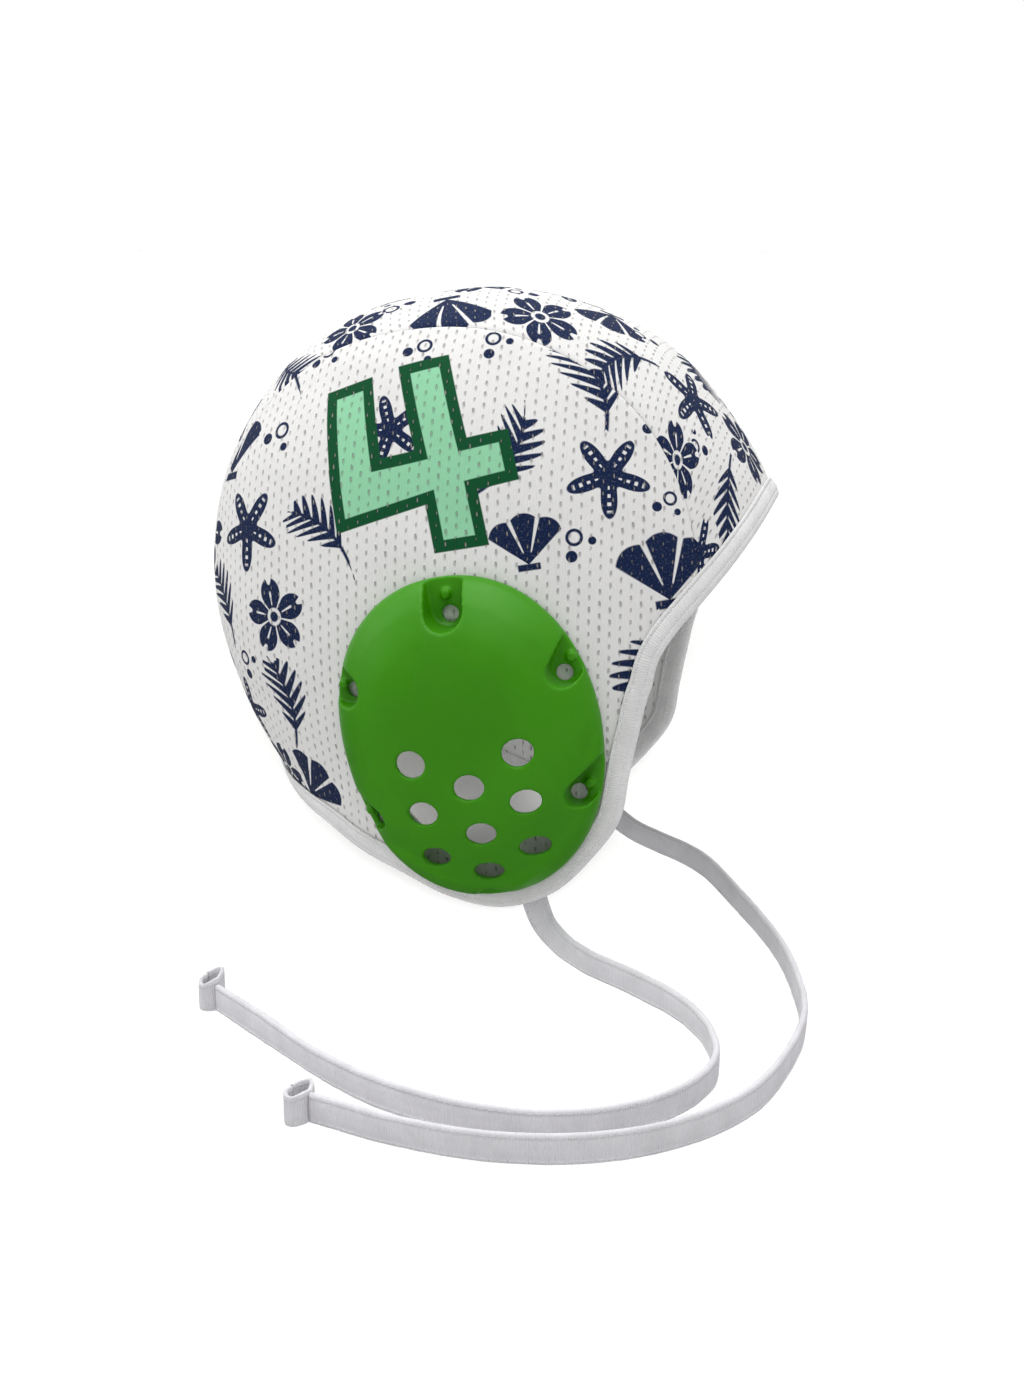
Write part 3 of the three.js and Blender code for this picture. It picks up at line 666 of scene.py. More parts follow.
# Half width and half height of an eyelet in metres, and how much more a few have
EYELET_WIDE = (0.00022, 0.00014)
EYELET_TALL = (0.00055, 0.00040)


def eyelet_group():
    """Staggered slots of the mesh cloth, as a mask for the painted shade inside them, and the fine knit
    between them. Its vector is in metres.
    """
    n, given, out = new_group("Eyelet mesh", ("Vector", "Across", "Up"), ("Eyelet shade", "Height"))
    x, y, _ = n.split(given["Vector"])
    x = x / given["Across"]
    column = x.floor()
    y = y / given["Up"] + column % 2.0 * 0.5
    row = y.floor()
    cell = n.out(0, "ShaderNodeCombineXYZ", {0: column, 1: row})
    dice = n.out(0, "ShaderNodeTexWhiteNoise", {"Vector": cell}, noise_dimensions="2D")
    dy = (y - row - 0.5) * given["Up"]
    dx = (x - column - 0.5) * given["Across"] + dy * ((dice - 0.5) * 0.25)
    wide = dx / (dice * EYELET_WIDE[1] + EYELET_WIDE[0])
    tall = dy / (dice * EYELET_TALL[1] + EYELET_TALL[0])
    far = wide * wide + tall * tall
    slot = n.fall(far, 0.35, 1.25)
    # Mask of the painted shade inside the eyelets, stronger in some slots than in others.
    n.join(slot * (dice * 0.55 + 0.45), out["Eyelet shade"])
    knit = n.ribs(given["Vector"], 340.0, 1.5, 1.0, 3.0) + n.noise(given["Vector"], 1500.0) * 0.6
    lip = n.fall(far, 1.0, 3.2) - slot * 2.4
    n.join(knit * 0.22 + lip, out["Height"])


# Half width of a printed edge, as a share of a motif's radius
PRINT_EDGE = 0.022


def motif_group():
    """Printed motifs: each tile of the atlas holds one kind, drawn about its middle."""
    n, given, out = new_group("Printed motifs", ("Vector",), ("Ink",))
    u, y, _ = n.split(given["Vector"])
    kind = ((u + ATLAS_STEP / 2) / ATLAS_STEP).floor()
    x = u - kind * ATLAS_STEP
    r = (x * x + y * y).root()
    fifth = abs((x.turn(y) * 2.5).cos())

    def inside(value):
        """Ink where the value is below 0."""
        return n.fall(value, -PRINT_EDGE, PRINT_EDGE)

    def cut(ink, hole):
        return ink * (1.0 - hole)

    def disc(across, up, size):
        dx, dy = x - across, y - up
        return (dx * dx + dy * dy).root() - size

    # Blossom: five notched petals, white veins and a dotted eye
    rim = fifth**0.55 * 0.66 + 0.30 - n.steps(fifth, 0.965, 1.0) * 0.16
    vein = n.steps(fifth, 0.985, 0.998) * n.steps(r, 0.26, 0.32) * n.steps(r, 0.66, 0.58)
    gap = n.steps(fifth, 0.20, 0.10) * n.steps(r, 0.16, 0.22)
    blossom = cut(cut(inside(r - rim), vein), gap)
    blossom = cut(blossom, inside(r - 0.22)).most(inside(r - 0.13))

    # Fern sprig: a bowed stem with leaflets on both sides
    side = abs(x + y * y * 0.28 - 0.12)
    along = y - side * 0.85
    spot = abs(((along + 2.0) / 0.27).fract() - 0.5)
    reach = ((along + 0.72) * (0.98 - along)).most(0.0).root() * 0.72
    taper = 1.0 - side / reach.most(0.02)
    leaf = taper.most(0.0).root() * 0.44
    leaflets = n.fall(spot - leaf, -0.07, 0.07) * n.steps(taper, 0.0, 0.06)
    fern = leaflets.most(inside(side - 0.045) * n.fall(abs(y), 0.98, 1.04))

    # Starfish: five round arms with a row of dots down each
    rings = abs((r * 5.5).fract() - 0.5)
    dots = n.steps(rings, 0.26, 0.16) * n.steps(fifth, 0.975, 0.995) * n.steps(r, 0.12, 0.2)
    star = cut(inside(r - (fifth**2.6 * 0.62 + 0.34)), dots * n.steps(r, 0.86, 0.78))

    # Fan shell: ribs that meet at its foot
    foot = y + 0.72
    spread = (x * x + foot * foot).root()
    way = x.turn(foot)
    rib = abs((way * 5.0).cos())
    fan = inside(spread - (rib * 0.14 + 1.38)) * inside(abs(way) - 0.88)
    groove = n.steps(rib, 0.30, 0.16) * n.steps(spread, 0.34, 0.42)
    shell = cut(fan, groove).most(inside(abs(x) - 0.34) * inside(abs(y + 0.80) - 0.10))

    # Drops: three small bubbles, one of them a ring
    ring = disc(0.36, 0.36, 0.36)
    bubbles = inside(disc(-0.42, 0.30, 0.24)).most(inside(disc(0.38, -0.38, 0.17)))
    bubbles = bubbles.most(inside(ring) * n.steps(ring, -0.17, -0.10))

    inks = {0: blossom, 1: fern, 2: star, 3: shell, 5: bubbles}
    chosen = (ink * n.math("COMPARE", kind, float(index), 0.5) for index, ink in inks.items())
    n.join(sum(chosen), out["Ink"])


def number_group():
    """The number 4, upright about its middle, in millimetres: its whole shape and its fill."""
    n, given, out = new_group("Number", ("Vector", "Outline"), ("Whole", "Fill"))
    edge = 0.22
    strokes = []
    for bar in NUMBER_BARS:
        sides = []
        for a, b in zip(bar, bar[1:] + bar[:1]):
            outward = unit(np.array([b[1] - a[1], a[0] - b[0]]))
            if (np.mean(bar, 0) - a) @ outward > 0:
                outward = -outward
            beyond = n.vector("DOT_PRODUCT", given["Vector"], (*outward, 0), out="Value")
            sides.append(beyond - float(outward @ a))
        strokes.append(reduce(Value.most, sides))
    whole = reduce(Value.least, strokes)
    n.join(n.fall(whole, -edge, edge), out["Whole"])
    n.join(n.fall(whole + given["Outline"], -edge, edge), out["Fill"])


# Length from stitch to stitch in metres, and where a stitch line fades beside its row
STITCH_STEP = 0.0026
STITCH_LINE = (0.00012, 0.00034)


def tape_group():
    """Fine woven tape with rows of stitches. U is along the tape and V across it, in metres."""
    n, given, out = new_group("Stitched tape", ("Vector", "Row", "Second row"), ("Stitches", "Height"))
    u, v, _ = n.split(given["Vector"])
    beat = abs((u / STITCH_STEP).fract() - 0.5)
    lines = (n.fall(abs(v - given[row]), *STITCH_LINE) for row in ("Row", "Second row"))
    stitches = sum(lines) * n.fall(beat, 0.33, 0.42)
    n.join(stitches, out["Stitches"])
    weave = n.ribs(given["Vector"], 420.0, 2.0, 2.0, 2.0) + n.noise(given["Vector"], 900.0, 3.0, 0.6)
    n.join(weave * 0.5 + stitches * 0.8, out["Height"])


def new_material(name, finish):
    """A material with only its shader: its tree, and its shader's inputs set to the finish."""
    material = bpy.data.materials.new(name)
    material.use_nodes = True
    shader = material.node_tree.nodes["Principled BSDF"].inputs
    for key, value in finish.items():
        shader[key].default_value = value
    return Tree(material.node_tree), shader


def shade(colour, share):
    """A colour made darker or paler."""
    return tuple(min(1, c * share) for c in colour)


# Steps between eyelets across and up, and width of the number's outline in millimetres
EYELET_STEPS = (0.0034, 0.0040)
NUMBER_OUTLINE = 3.7


def cloth_material(name, colours, number, strength):
    """Mesh cloth with its print, full strength outside and faint inside, and painted shade in its eyelets.
    """
    n, shader = new_material(name, {
        "Roughness": 0.8, "Specular IOR Level": 0.12, "Sheen Weight": 0.04, "Sheen Roughness": 0.5})
    flat = n.map("cloth")
    eyelets = n.group("Eyelet mesh", {"Vector": flat, "Across": EYELET_STEPS[0], "Up": EYELET_STEPS[1]})
    tone = n.steps(n.noise(flat, 60.0, 3.0), 0.3, 0.7, 0.0, 0.5)
    ground = n.mix(tone, colours.cloth, shade(colours.cloth, 0.94))
    uneven = n.steps(n.noise(flat, 1400.0), 0.25, 0.5, 0.93, 1.0)
    ink = n.group("Printed motifs", {"Vector": n.map("motifs")})["Ink"]
    colour = n.mix(ink * uneven * strength, ground, colours.navy)
    if number:
        place = n.vector("MULTIPLY", n.map("number"), (1000, 1000, 0))
        shape = n.group("Number", {"Vector": place, "Outline": NUMBER_OUTLINE})
        colour = n.mix(shape["Whole"] * strength, colour, colours.outline)
        colour = n.mix(shape["Fill"] * strength, colour, colours.mint)
    # Painted shade inside the eyelets, which on the print also stands for the paler unprinted cloth in
    # them.
    n.join(n.mix(eyelets["Eyelet shade"] * 0.75, colour, colours.eyelet_shade), shader["Base Color"])
    n.bump(eyelets["Height"], 0.00018, shader)


def tape_material(name, base, rows):
    """Pale stitched tape."""
    n, shader = new_material(name, {"Roughness": 0.85, "Specular IOR Level": 0.15, "Sheen Weight": 0.06})
    place = n.map("tape")
    tape = n.group("Stitched tape", {"Vector": place, "Row": rows[0], "Second row": rows[1]})
    tone = n.steps(n.noise(place, 90.0, 4.0, 0.6), 0.3, 0.7)
    colour = n.mix(tone, shade(base, 0.90), base)
    n.join(n.mix(tape["Stitches"] * 0.5, colour, shade(base, 1.12)), shader["Base Color"])
    n.bump(tape["Height"], 0.00022, shader)


def guard_material(colours):
    """Moulded plastic with a soft satin skin."""
    n, shader = new_material("moulded_green", {
        "Specular IOR Level": 0.27, "Subsurface Weight": 0.08, "Subsurface Radius": (0.3, 1.0, 0.2),
        "Subsurface Scale": 0.002})
    place = n.out("Object", "ShaderNodeTexCoord")
    drift = n.steps(n.noise(place, 28.0), 0.35, 0.65)
    n.join(n.mix(drift, colours.guard, shade(colours.guard, 0.9)), shader["Base Color"])
    n.join(n.steps(n.noise(place, 160.0, 3.0), 0.3, 0.7, 0.36, 0.44), shader["Roughness"])
    n.bump(n.noise(place, 2600.0), 0.00004, shader)


# How much of the print shows inside, and the stitch rows of each tape, in metres from its fold or middle
INSIDE_INK = 0.16
BINDING_ROWS = (0.0070, 0.0032)
TIE_ROWS = (0.0034, -0.0034)


def build_materials(scene):
    """All finishes, made once."""
    colours = scene.cap_colours
    eyelet_group()
    motif_group()
    number_group()
    tape_group()
    for name, number in (("printed_mesh", False), ("numbered_mesh", True)):
        cloth_material(name, colours, number, 1.0)
        cloth_material(f"{name}_inside", colours, number, INSIDE_INK)
    tape_material("woven_binding", colours.binding, BINDING_ROWS)
    tape_material("woven_tie", colours.tie, TIE_ROWS)
    guard_material(colours)


def thicken(obj, thickness):
    """Gives cloth its thickness, inwards, with its second material inside."""
    wall = obj.modifiers.new("Thickness", "SOLIDIFY")
    wall.thickness = thickness / 1000
    wall.offset = -1
    wall.material_offset = 1
    wall.material_offset_rim = 1
    wall.use_even_offset = True
    finish_modifiers(obj)


def seen_from(azimuth, elevation):
    """Direction to a place round the cap and above the horizon."""
    level = math.cos(elevation)
    return Vector((math.sin(azimuth) * level, -math.cos(azimuth) * level, math.sin(elevation)))


# What the camera looks at
AIM = Vector((-0.0014, 0, -0.1426))


class CAP_OT_camera(bpy.types.Operator):
    """Sets the camera at the photograph's angle"""
    bl_idname = "cap.camera"
    bl_label = "Camera"

    def execute(self, context):
        stage = context.scene.cap_stage
        data = bpy.data.cameras.new("camera")
        camera = bpy.data.objects.new("camera", data)
        context.scene.collection.objects.link(camera)
        data.lens = 50
        data.sensor_width = 36
        back = seen_from(stage.azimuth, stage.elevation)
        camera.location = AIM + back * stage.distance
        camera.rotation_euler = back.to_track_quat("Z", "Y").to_euler()
        context.scene.camera = camera
        return {"FINISHED"}


def route_of(points, count):
    """Evenly spaced points of a smooth curve through a tie's route, with its directions."""
    p = np.array(points, float)
    p = np.vstack([2 * p[0] - p[1], p, 2 * p[-1] - p[-2]])
    knots = np.concatenate([[0], np.cumsum(np.linalg.norm(np.diff(p, axis=0), axis=1)**0.5)])
    line = []
    for i in range(1, len(p) - 2):
        t = np.linspace(knots[i], knots[i + 1], 60, endpoint=False)[:, None]
        t0, t1, t2, t3 = knots[i - 1:i + 3]
        a1 = (t1 - t) / (t1 - t0) * p[i - 1] + (t - t0) / (t1 - t0) * p[i]
        a2 = (t2 - t) / (t2 - t1) * p[i] + (t - t1) / (t2 - t1) * p[i + 1]
        a3 = (t3 - t) / (t3 - t2) * p[i + 1] + (t - t2) / (t3 - t2) * p[i + 2]
        b1 = (t2 - t) / (t2 - t0) * a1 + (t - t0) / (t2 - t0) * a2
        b2 = (t3 - t) / (t3 - t1) * a2 + (t - t1) / (t3 - t1) * a3
        line.append((t2 - t) / (t2 - t1) * b1 + (t - t1) / (t2 - t1) * b2)
    line = np.vstack([*line, p[-2:-1]])
    length = run(line)
    at = np.linspace(0, length[-1], count)
    points = np.stack([np.interp(at, length, line[:, k]) for k in range(3)], -1)
    ways = unit(np.gradient(points, axis=0))
    return points, ways, at


def rounded_section(width, thickness, steps=5):
    """Outline of a folded tape: flat faces, round edges and a groove beside each edge."""
    h, t = width / 2, thickness / 2
    turns = np.linspace(-90, 90, steps * 2 + 1)
    right = [(h - t + t * math.cos(math.radians(a)), t * math.sin(math.radians(a))) for a in turns]
    face = ((h - 1.35, 0.98), (h - 1.75, 0.86), (h - 2.15, 0.98), (0.8, 1.02), (-0.8, 1.0),
            (-h + 2.15, 0.98), (-h + 1.75, 0.86), (-h + 1.35, 0.98))
    top = [(x, t * share) for x, share in face]
    return np.array(right + top + [(-x, -y) for x, y in right] + [(-x, -y) for x, y in top])


# Loops at the ends of the ties: outside depth, rise of the far side over the tape
LOOP_SHAPES = {"right": (8.5, 3.6), "left": (11.0, 1.0)}


class CAP_OT_ties(bpy.types.Operator):
    """Makes both ties and the sewn loops at their ends"""
    bl_idname = "cap.ties"
    bl_label = "Ties"

    def execute(self, context):
        sizes = context.scene.cap_ties
        width, thick = sizes.width * 1000, sizes.thickness * 1000
        for side, route, seed in (("right", TIE_RIGHT, 3), ("left", TIE_LEFT, 8)):
            p, way, at = route_of(route, 420)
            lean = np.stack([-way[:, 2], 0 * at, np.hypot(way[:, 0], way[:, 1])], -1)
            face = unit(np.cross(way, lean))
            across = unit(np.cross(face, way))
            free = smooth(at / 30) * smooth((at[-1] - at) / 12)
            tilt = ripple(p, 70, seed) * 0.10 * free
            across2 = across * np.cos(tilt)[:, None] + face * np.sin(tilt)[:, None]
            face2 = face * np.cos(tilt)[:, None] - across * np.sin(tilt)[:, None]
            section = rounded_section(width, thick)
            points = p[:, None] + across2[:, None] * section[:, :1] + face2[:, None] * section[:, 1:]
            dents = ripple(points, 13, seed + 20) * 0.10 + ripple(points, 5, seed + 30) * 0.05
            points = points + face2[:, None] * (dents * free[:, None])[..., None]
            columns = len(section)
            tie = new_piece(f"tie_{side}_tape", points, capped(len(p), columns),
                            ["woven_tie"], f"tie_{side}")
            index = corners(tie)
            set_map(tie, "tape", np.stack([at[index // columns], section[index % columns, 0]], -1) / 1000)
            loop = self.loop(sizes, side, route)
            length = float(run(p)[-1]) / 1000
        return {"FINISHED"}

    def loop(self, sizes, side, route):
        """The tape's end, folded back on itself into a loop."""
        end = np.array(route[-1], float)
        way = unit(end - np.array(route[-2], float))
        over = np.array([-way[1], way[0], 0])
        depth, rise = LOOP_SHAPES[side]
        outside, wall, half = sizes.loop * 1000, sizes.loop_wall * 1000, sizes.width * 500
        centre = end + way * (outside / 2 + 0.3)
        turns = np.linspace(0, 2 * math.pi, 72, endpoint=False)
        section = [(0.25, 0), (0, 0.03), (-0.1, 0.3), (0, 0.65), (0, 0.97), (0.25, 1), (wall - 0.3, 1),
                   (wall, 0.97), (wall, 0.6), (wall, 0.03), (wall - 0.3, 0)]
        rows = []
        for turn in turns:
            top = half + rise * (0.5 - 0.5 * math.sin(turn)) + 0.12 * math.sin(3 * turn)
            fold = 0.16 * math.sin(5 * turn + 1) + 0.10 * math.sin(9 * turn)
            rows.append([centre + way * (math.cos(turn) * (outside / 2 - inward - fold * share))
                         + over * (math.sin(turn) * (depth / 2 - inward - fold * share))
                         + np.array([0, 0, -half + share * (top + half)]) for inward, share in section])
        columns = len(section)
        loop = new_piece(f"tie_loop_{side}_tape", np.array(rows), quads(len(turns), columns, True, True),
                         ["woven_tie"], f"tie_loop_{side}")
        index = corners(loop)
        z = (np.array(section)[index % columns, 1] - 0.5) * 2 * half
        set_map(loop, "tape", np.stack([turns[index // columns] * 4.5, z], -1) / 1000)
        face_outwards(loop)
        round_off = loop.modifiers.new("Round", "SUBSURF")
        round_off.levels = round_off.render_levels = 1
        finish_modifiers(loop)
        return loop


EDGE_ROWS = (0, 0.35, 0.75, 1.3, 2.0, 3.0)


class CAP_OT_panels(bpy.types.Operator):
    """Makes the centre panel and both side panels of mesh cloth"""
    bl_idname = "cap.panels"
    bl_label = "Mesh panels"

    def execute(self, context):
        form = CapForm(context.scene)
        self.centre_panel(form)
        for side, name in ((-1, "right"), (1, "left")):
            self.side_panel(form, side, name)
        return {"FINISHED"}

    def groove(self, distance):
        """The cloth dips where it is seamed."""
        return -0.28 * np.exp(-(distance / 0.7)**2) + 0.12 * np.exp(-((distance - 2.2) / 0.9)**2)

    def centre_panel(self, form):
        """The strip of cloth from the brow over the crown to the nape."""
        half = form.strip_half(100)
        inner = np.linspace(0, 1, 16)[:-1] * (half - EDGE_ROWS[-1]) / half
        edge = 1 - np.array(EDGE_ROWS[::-1]) / half
        shares = np.concatenate([inner, edge])
        shares = np.concatenate([-shares[:0:-1], shares])
        lines = []
        for share in shares:
            y = lambda a: share * (form.strip_half(a) + 0.03)
            brow = crossing(lambda a: form.cloth_radius(a) - form.radius(a, y(a)), form.brow + 5, -1)
            nape = crossing(lambda a: form.cloth_radius(a - 360) - form.radius(a, y(a)), form.nape - 5, 1)
            line = lambda a: form.from_ear(a, form.radius(a, y(a)), y(a))
            lines.append(line(spread(line, np.linspace(brow, nape, 2000), np.linspace(0, 1, 230))))
        grid = np.array(lines).transpose(1, 0, 2)
        rows, columns = grid.shape[:2]
        side = np.cumsum(np.linalg.norm(np.diff(grid, axis=1, prepend=grid[:, :1]), axis=2), 1)
        side -= side[:, columns // 2, None]
        middle = grid[:, columns // 2]
        along = run(middle)
        flat = np.stack([np.broadcast_to(along[:, None], side.shape), -side], -1)
        to_seam = np.minimum(side - side[:, :1], side[:, -1:] - side)
        calm = smooth((to_seam - 3) / 10)
        rumple = ripple(grid, 46, 5) * 0.45 * calm
        ends = smooth(np.minimum(along, along[-1] - along) / 18)[:, None]
        points = form.settled(grid, self.groove(to_seam) * ends + rumple * ends)
        panel = new_piece("crown_strip_cloth", points, quads(rows, columns),
                          ["printed_mesh", "printed_mesh_inside"], "crown_strip")
        index = corners(panel)
        flat = flat.reshape(-1, 2)[index]
        set_map(panel, "cloth", flat / 1000)
        set_map(panel, "motifs", print_map(flat.reshape(-1, 4, 2), STRIP_PRINT).reshape(-1, 2))
        thicken(panel, form.cloth)

    def side_panel(self, form, side, name):
        """One side's cloth, round its ear opening."""
        front = crossing(lambda a: form.cloth_radius(a) - form.seam(a, 0), form.brow, -1)
        back = crossing(lambda a: form.cloth_radius(a - 360) - form.seam(a, 0), form.nape, 1)
        shares = np.arange(210) / 210
        seam, hem = np.linspace(front, back, 3000), np.linspace(back - 360, front, 3000)
        seam = spread(lambda a: form.on_skin(a, form.seam(a, 0)), seam, shares)
        hem = spread(lambda a: form.on_skin(a, form.cloth_radius(a)), hem, shares)
        angle = np.concatenate([seam, hem])
        outer = np.concatenate([form.seam(seam, 0), form.cloth_radius(hem)])
        opening = bpy.context.scene.cap_guard.opening
        a = np.radians(angle)
        inner = opening / form.guard_share(*form.in_guard(np.cos(a), form.ear + np.sin(a)))
        start, stop = form.on_skin(angle, inner), form.on_skin(angle, outer)
        reach = np.linalg.norm(stop - start, axis=1)[:, None]
        t = np.linspace(0, 1, 38)[None, :-1] * (1 - EDGE_ROWS[-1] / reach)
        t = np.concatenate([t, 1 - np.array(EDGE_ROWS[::-1])[None] / reach], 1)
        grid = start[:, None] + (stop - start)[:, None] * t[..., None]
        grid = form.settled(grid).transpose(1, 0, 2)
        rows, columns = grid.shape[:2]
        distance = ((1 - t) * reach).T
        on_seam = np.concatenate([np.ones(len(seam)), np.zeros(len(hem))])
        u, w = form.in_guard(grid[..., 0], grid[..., 2])
        clear = smooth((form.guard_share(u, w) - 1.02) / 0.25) * smooth((form.to_edge(grid) - 9) / 14)
        clear = clear * smooth((distance - 3) / 10)
        rumple = (ripple(grid, 52, 11 + side) * 0.6 + ripple(grid, 21, 31 + side) * 0.12) * clear
        points = form.settled(grid, self.groove(distance) * on_seam + rumple)
        flat = form.flat(grid)
        order = slice(None, None, -1) if side < 0 else slice(None)
        if side > 0:
            points = points * (1, -1, 1)
        faces = quads(rows, columns, round_columns=True)[:, order]
        panel = new_piece(f"side_panel_{name}_cloth", points, faces,
                          ["numbered_mesh", "numbered_mesh_inside"], f"side_panel_{name}")
        index = corners(panel)
        flat = flat.reshape(-1, 2)[index]
        set_map(panel, "cloth", flat / 1000)
        table = [(x, z, size, turn + 35 * (side > 0), kind) for x, z, size, turn, kind in SIDE_PRINT]
        set_map(panel, "motifs", print_map(flat.reshape(-1, 4, 2), table).reshape(-1, 2))
        turn = math.radians(NUMBER_TURN)
        local = (flat - NUMBER_PLACE) * (-side, 1)
        turn = turn * -side
        number = np.stack([local[:, 0] * math.cos(turn) + local[:, 1] * math.sin(turn),
                           local[:, 1] * math.cos(turn) - local[:, 0] * math.sin(turn)], -1)
        set_map(panel, "number", number / NUMBER_SIZE / 1000)
        thicken(panel, form.cloth)


class CAP_OT_binding(bpy.types.Operator):
    """Makes the tape folded round the whole edge"""
    bl_idname = "cap.binding"
    bl_label = "Edge binding"

    def execute(self, context):
        form = CapForm(context.scene)
        count = 760
        share = np.arange(count) / count
        section = np.array(BINDING_SECTION)
        columns = len(section)
        along = np.broadcast_to(section[:, 0], (count, columns))
        off = np.broadcast_to(section[:, 1], (count, columns))
        at = np.broadcast_to(share[:, None], (count, columns))
        place = form.beside_edge(at, np.zeros_like(at), np.zeros_like(at))
        pucker = ripple(place, 4.2, 2) * 0.05 + ripple(place, 12, 4) * 0.10
        crown = np.exp(-((section[:, 0] + 4.5) / 2.6)**2)
        outside = section[:, 1] > 0.5
        off = off + pucker * np.where(outside, 0.4 + crown, 0.3)
        along = along + ripple(place, 26, 9) * 0.18 * (section[:, 0] < -6)
        points = form.beside_edge(at, along, off)
        binding = new_piece("edge_binding_tape", points, quads(count, columns, True, True),
                            ["woven_binding"], "edge_binding")
        index = corners(binding)
        step, column = index // columns, index % columns
        ring = step.reshape(-1, 4)
        wraps = (ring.max(1) - ring.min(1) > 1)[:, None] & (ring == 0)
        step = np.where(wraps, count, ring).ravel()
        length = step / count * form.edge_length
        set_map(binding, "tape", np.stack([length, -section[column, 0]], -1) / 1000)
        face_outwards(binding)
        return {"FINISHED"}


class CAP_OT_guards(bpy.types.Operator):
    """Makes both moulded ear guards"""
    bl_idname = "cap.guards"
    bl_label = "Ear guards"

    def execute(self, context):
        form = CapForm(context.scene)
        sizes = context.scene.cap_guard
        self.wall, self.foot, self.rise = sizes.wall * 1000, sizes.foot * 1000, sizes.rise * 1000
        self.hole = sizes.hole * 1000
        self.section = curve([*GUARD_SECTION, (1, self.foot / self.rise)])
        self.form = form
        body = self.dome()
        high = 2 * self.rise
        linings = self.blocks([(self.recess(row, self.wall)[0], -4, high) for row in RECESSES])
        self.combine(linings, self.room(0.972, lambda s: self.top(s) - self.wall / 3, 0.35), "INTERSECT")
        self.combine(body, linings, "UNION")
        cuts = self.blocks([(self.recess(row, 0)[0], -4, high) for row in RECESSES])
        self.combine(cuts, self.room(1.3, lambda s: RECESS_FLOOR, -6), "DIFFERENCE")
        self.combine(body, cuts, "DIFFERENCE")
        laced = [(self.recess(row, 0)[1], row[5]) for row in RECESSES if row[5]]
        self.combine(body, self.blocks([
            *((self.disc(at(-LACE_HOLE_IN, 0), LACE_HOLE), -3, self.rise) for at, _ in laced),
            *((self.disc((u, w), self.hole, self.hole_height(w)), -3, high) for u, w in SOUND_HOLES)]),
            "DIFFERENCE")
        self.combine(body, self.blocks([(self.disc(at(nub, 0), NUB), self.foot / 2, RECESS_FLOOR + 2.2)
                                        for at, nub in laced]), "UNION")
        remesh = body.modifiers.new("Mould", "REMESH")
        remesh.mode = "VOXEL"
        remesh.voxel_size = sizes.fine
        soften = body.modifiers.new("Soften", "SMOOTH")
        soften.factor = 0.5
        soften.iterations = 7
        finish_modifiers(body)
        body.data.shade_smooth()
        self.polish(body)
        points = self.vertices(body) * 1000
        faces = [list(f.vertices) for f in body.data.polygons]
        mirrored = [f[::-1] for f in faces]
        for side, way, outward in (("right", 1, faces), ("left", -1, mirrored)):
            new_piece(f"ear_guard_{side}_moulding", points * (1, way, 1), outward, ["moulded_green"],
                      f"ear_guard_{side}")
        bpy.data.objects.remove(body)
        return {"FINISHED"}

    def vertices(self, obj):
        """Places of an object's vertices."""
        found = np.zeros(len(obj.data.vertices) * 3, np.float32)
        obj.data.vertices.foreach_get("co", found)
        return found.reshape(-1, 3)

    def hole_height(self, up):
        """A sound hole is lower the further down the guard it is."""
        return self.hole - 0.8 + 0.065 * up

    def top(self, share):
        """Height of the guard's outer face at a share of the way out."""
        return np.maximum(self.section(share) * self.rise, self.foot)

    def seat(self, x, z):
        """Height of what lies under the guard: cloth, or the binding over it."""
        beside = self.form.to_edge(np.stack([x, 0 * x, z], -1)) - 8
        return 0.4 + 1.7 * smooth(1 - (beside - 2) / 5)

    def place(self, u, w, height):
        """Points at a height over what lies under the guard, from its own frame."""
        x, z = self.form.from_guard(u, w)
        return np.stack([x, -(self.form.skin(x, z) + height + self.seat(x, z)), z], -1)

    def dome(self):
        """The guard's hollow shell, before its recesses and holes."""
        thin = 1 - self.wall / self.form.guard_half[0]
        steps = np.sin(np.linspace(0.04, 1, 34) * math.pi / 2)
        rows = [(s, self.top(s)) for s in steps] + [(1.0, self.foot * 0.5), (0.999, 0.3), (0.99, 0.0)]
        rows += [(thin, 0.0), *((s * thin, max(float(self.top(s)) - self.wall, 0.3)) for s in steps[::-1])]
        return self.turned(rows)

    def room(self, edge, height, base):
        """The room from a base up to a height, out to a share of the guard's edge."""
        steps = np.sin(np.linspace(0.04, 1, 34) * math.pi / 2) * edge
        return self.turned([(s, float(height(s))) for s in steps] + [(s, base) for s in steps[::-1]])

    def turned(self, rows):
        """A body from rings at shares of the guard's edge and heights over the seat."""
        sides = np.linspace(0, 360, 180, endpoint=False)
        rings = [self.place(*self.form.guard_rim(sides, share), height) for share, height in rows]
        return self.solid("guard_blank", rings, capped(len(rows), len(sides)))

    def solid(self, name, points, faces):
        """A closed body with flat faces, as the booleans need."""
        obj = add_mesh(name, points, faces)
        face_outwards(obj, flat=True)
        return obj

    def recess(self, row, grow):
        """Outline of a lacing recess, open past the edge, with a round inner end."""
        across, up, half, way, reach, _ = row
        out = np.array([math.cos(math.radians(way)), math.sin(math.radians(way))])
        over = np.array([-out[1], out[0]])

        def at(outward, sideways):
            return np.array([across, up]) + out * outward + over * sideways
        half += grow
        sides = np.linspace(0, reach, 13)[1:]
        turns = np.radians(np.linspace(-90, 90, 19))
        outline = [*(at(t, -half) for t in sides[::-1]),
                   *(at(-half * math.cos(a), half * math.sin(a)) for a in turns),
                   *(at(t, half) for t in sides),
                   *(at(reach, half * t) for t in np.linspace(1, -1, 12)[1:-1])]
        return np.array(outline), at

    def disc(self, centre, wide, high=None):
        """Outline of a round or oval hole."""
        a = np.linspace(0, 2 * math.pi, 40, endpoint=False)
        return np.array(centre) + np.stack([wide / 2 * np.cos(a), (high or wide) / 2 * np.sin(a)], -1)

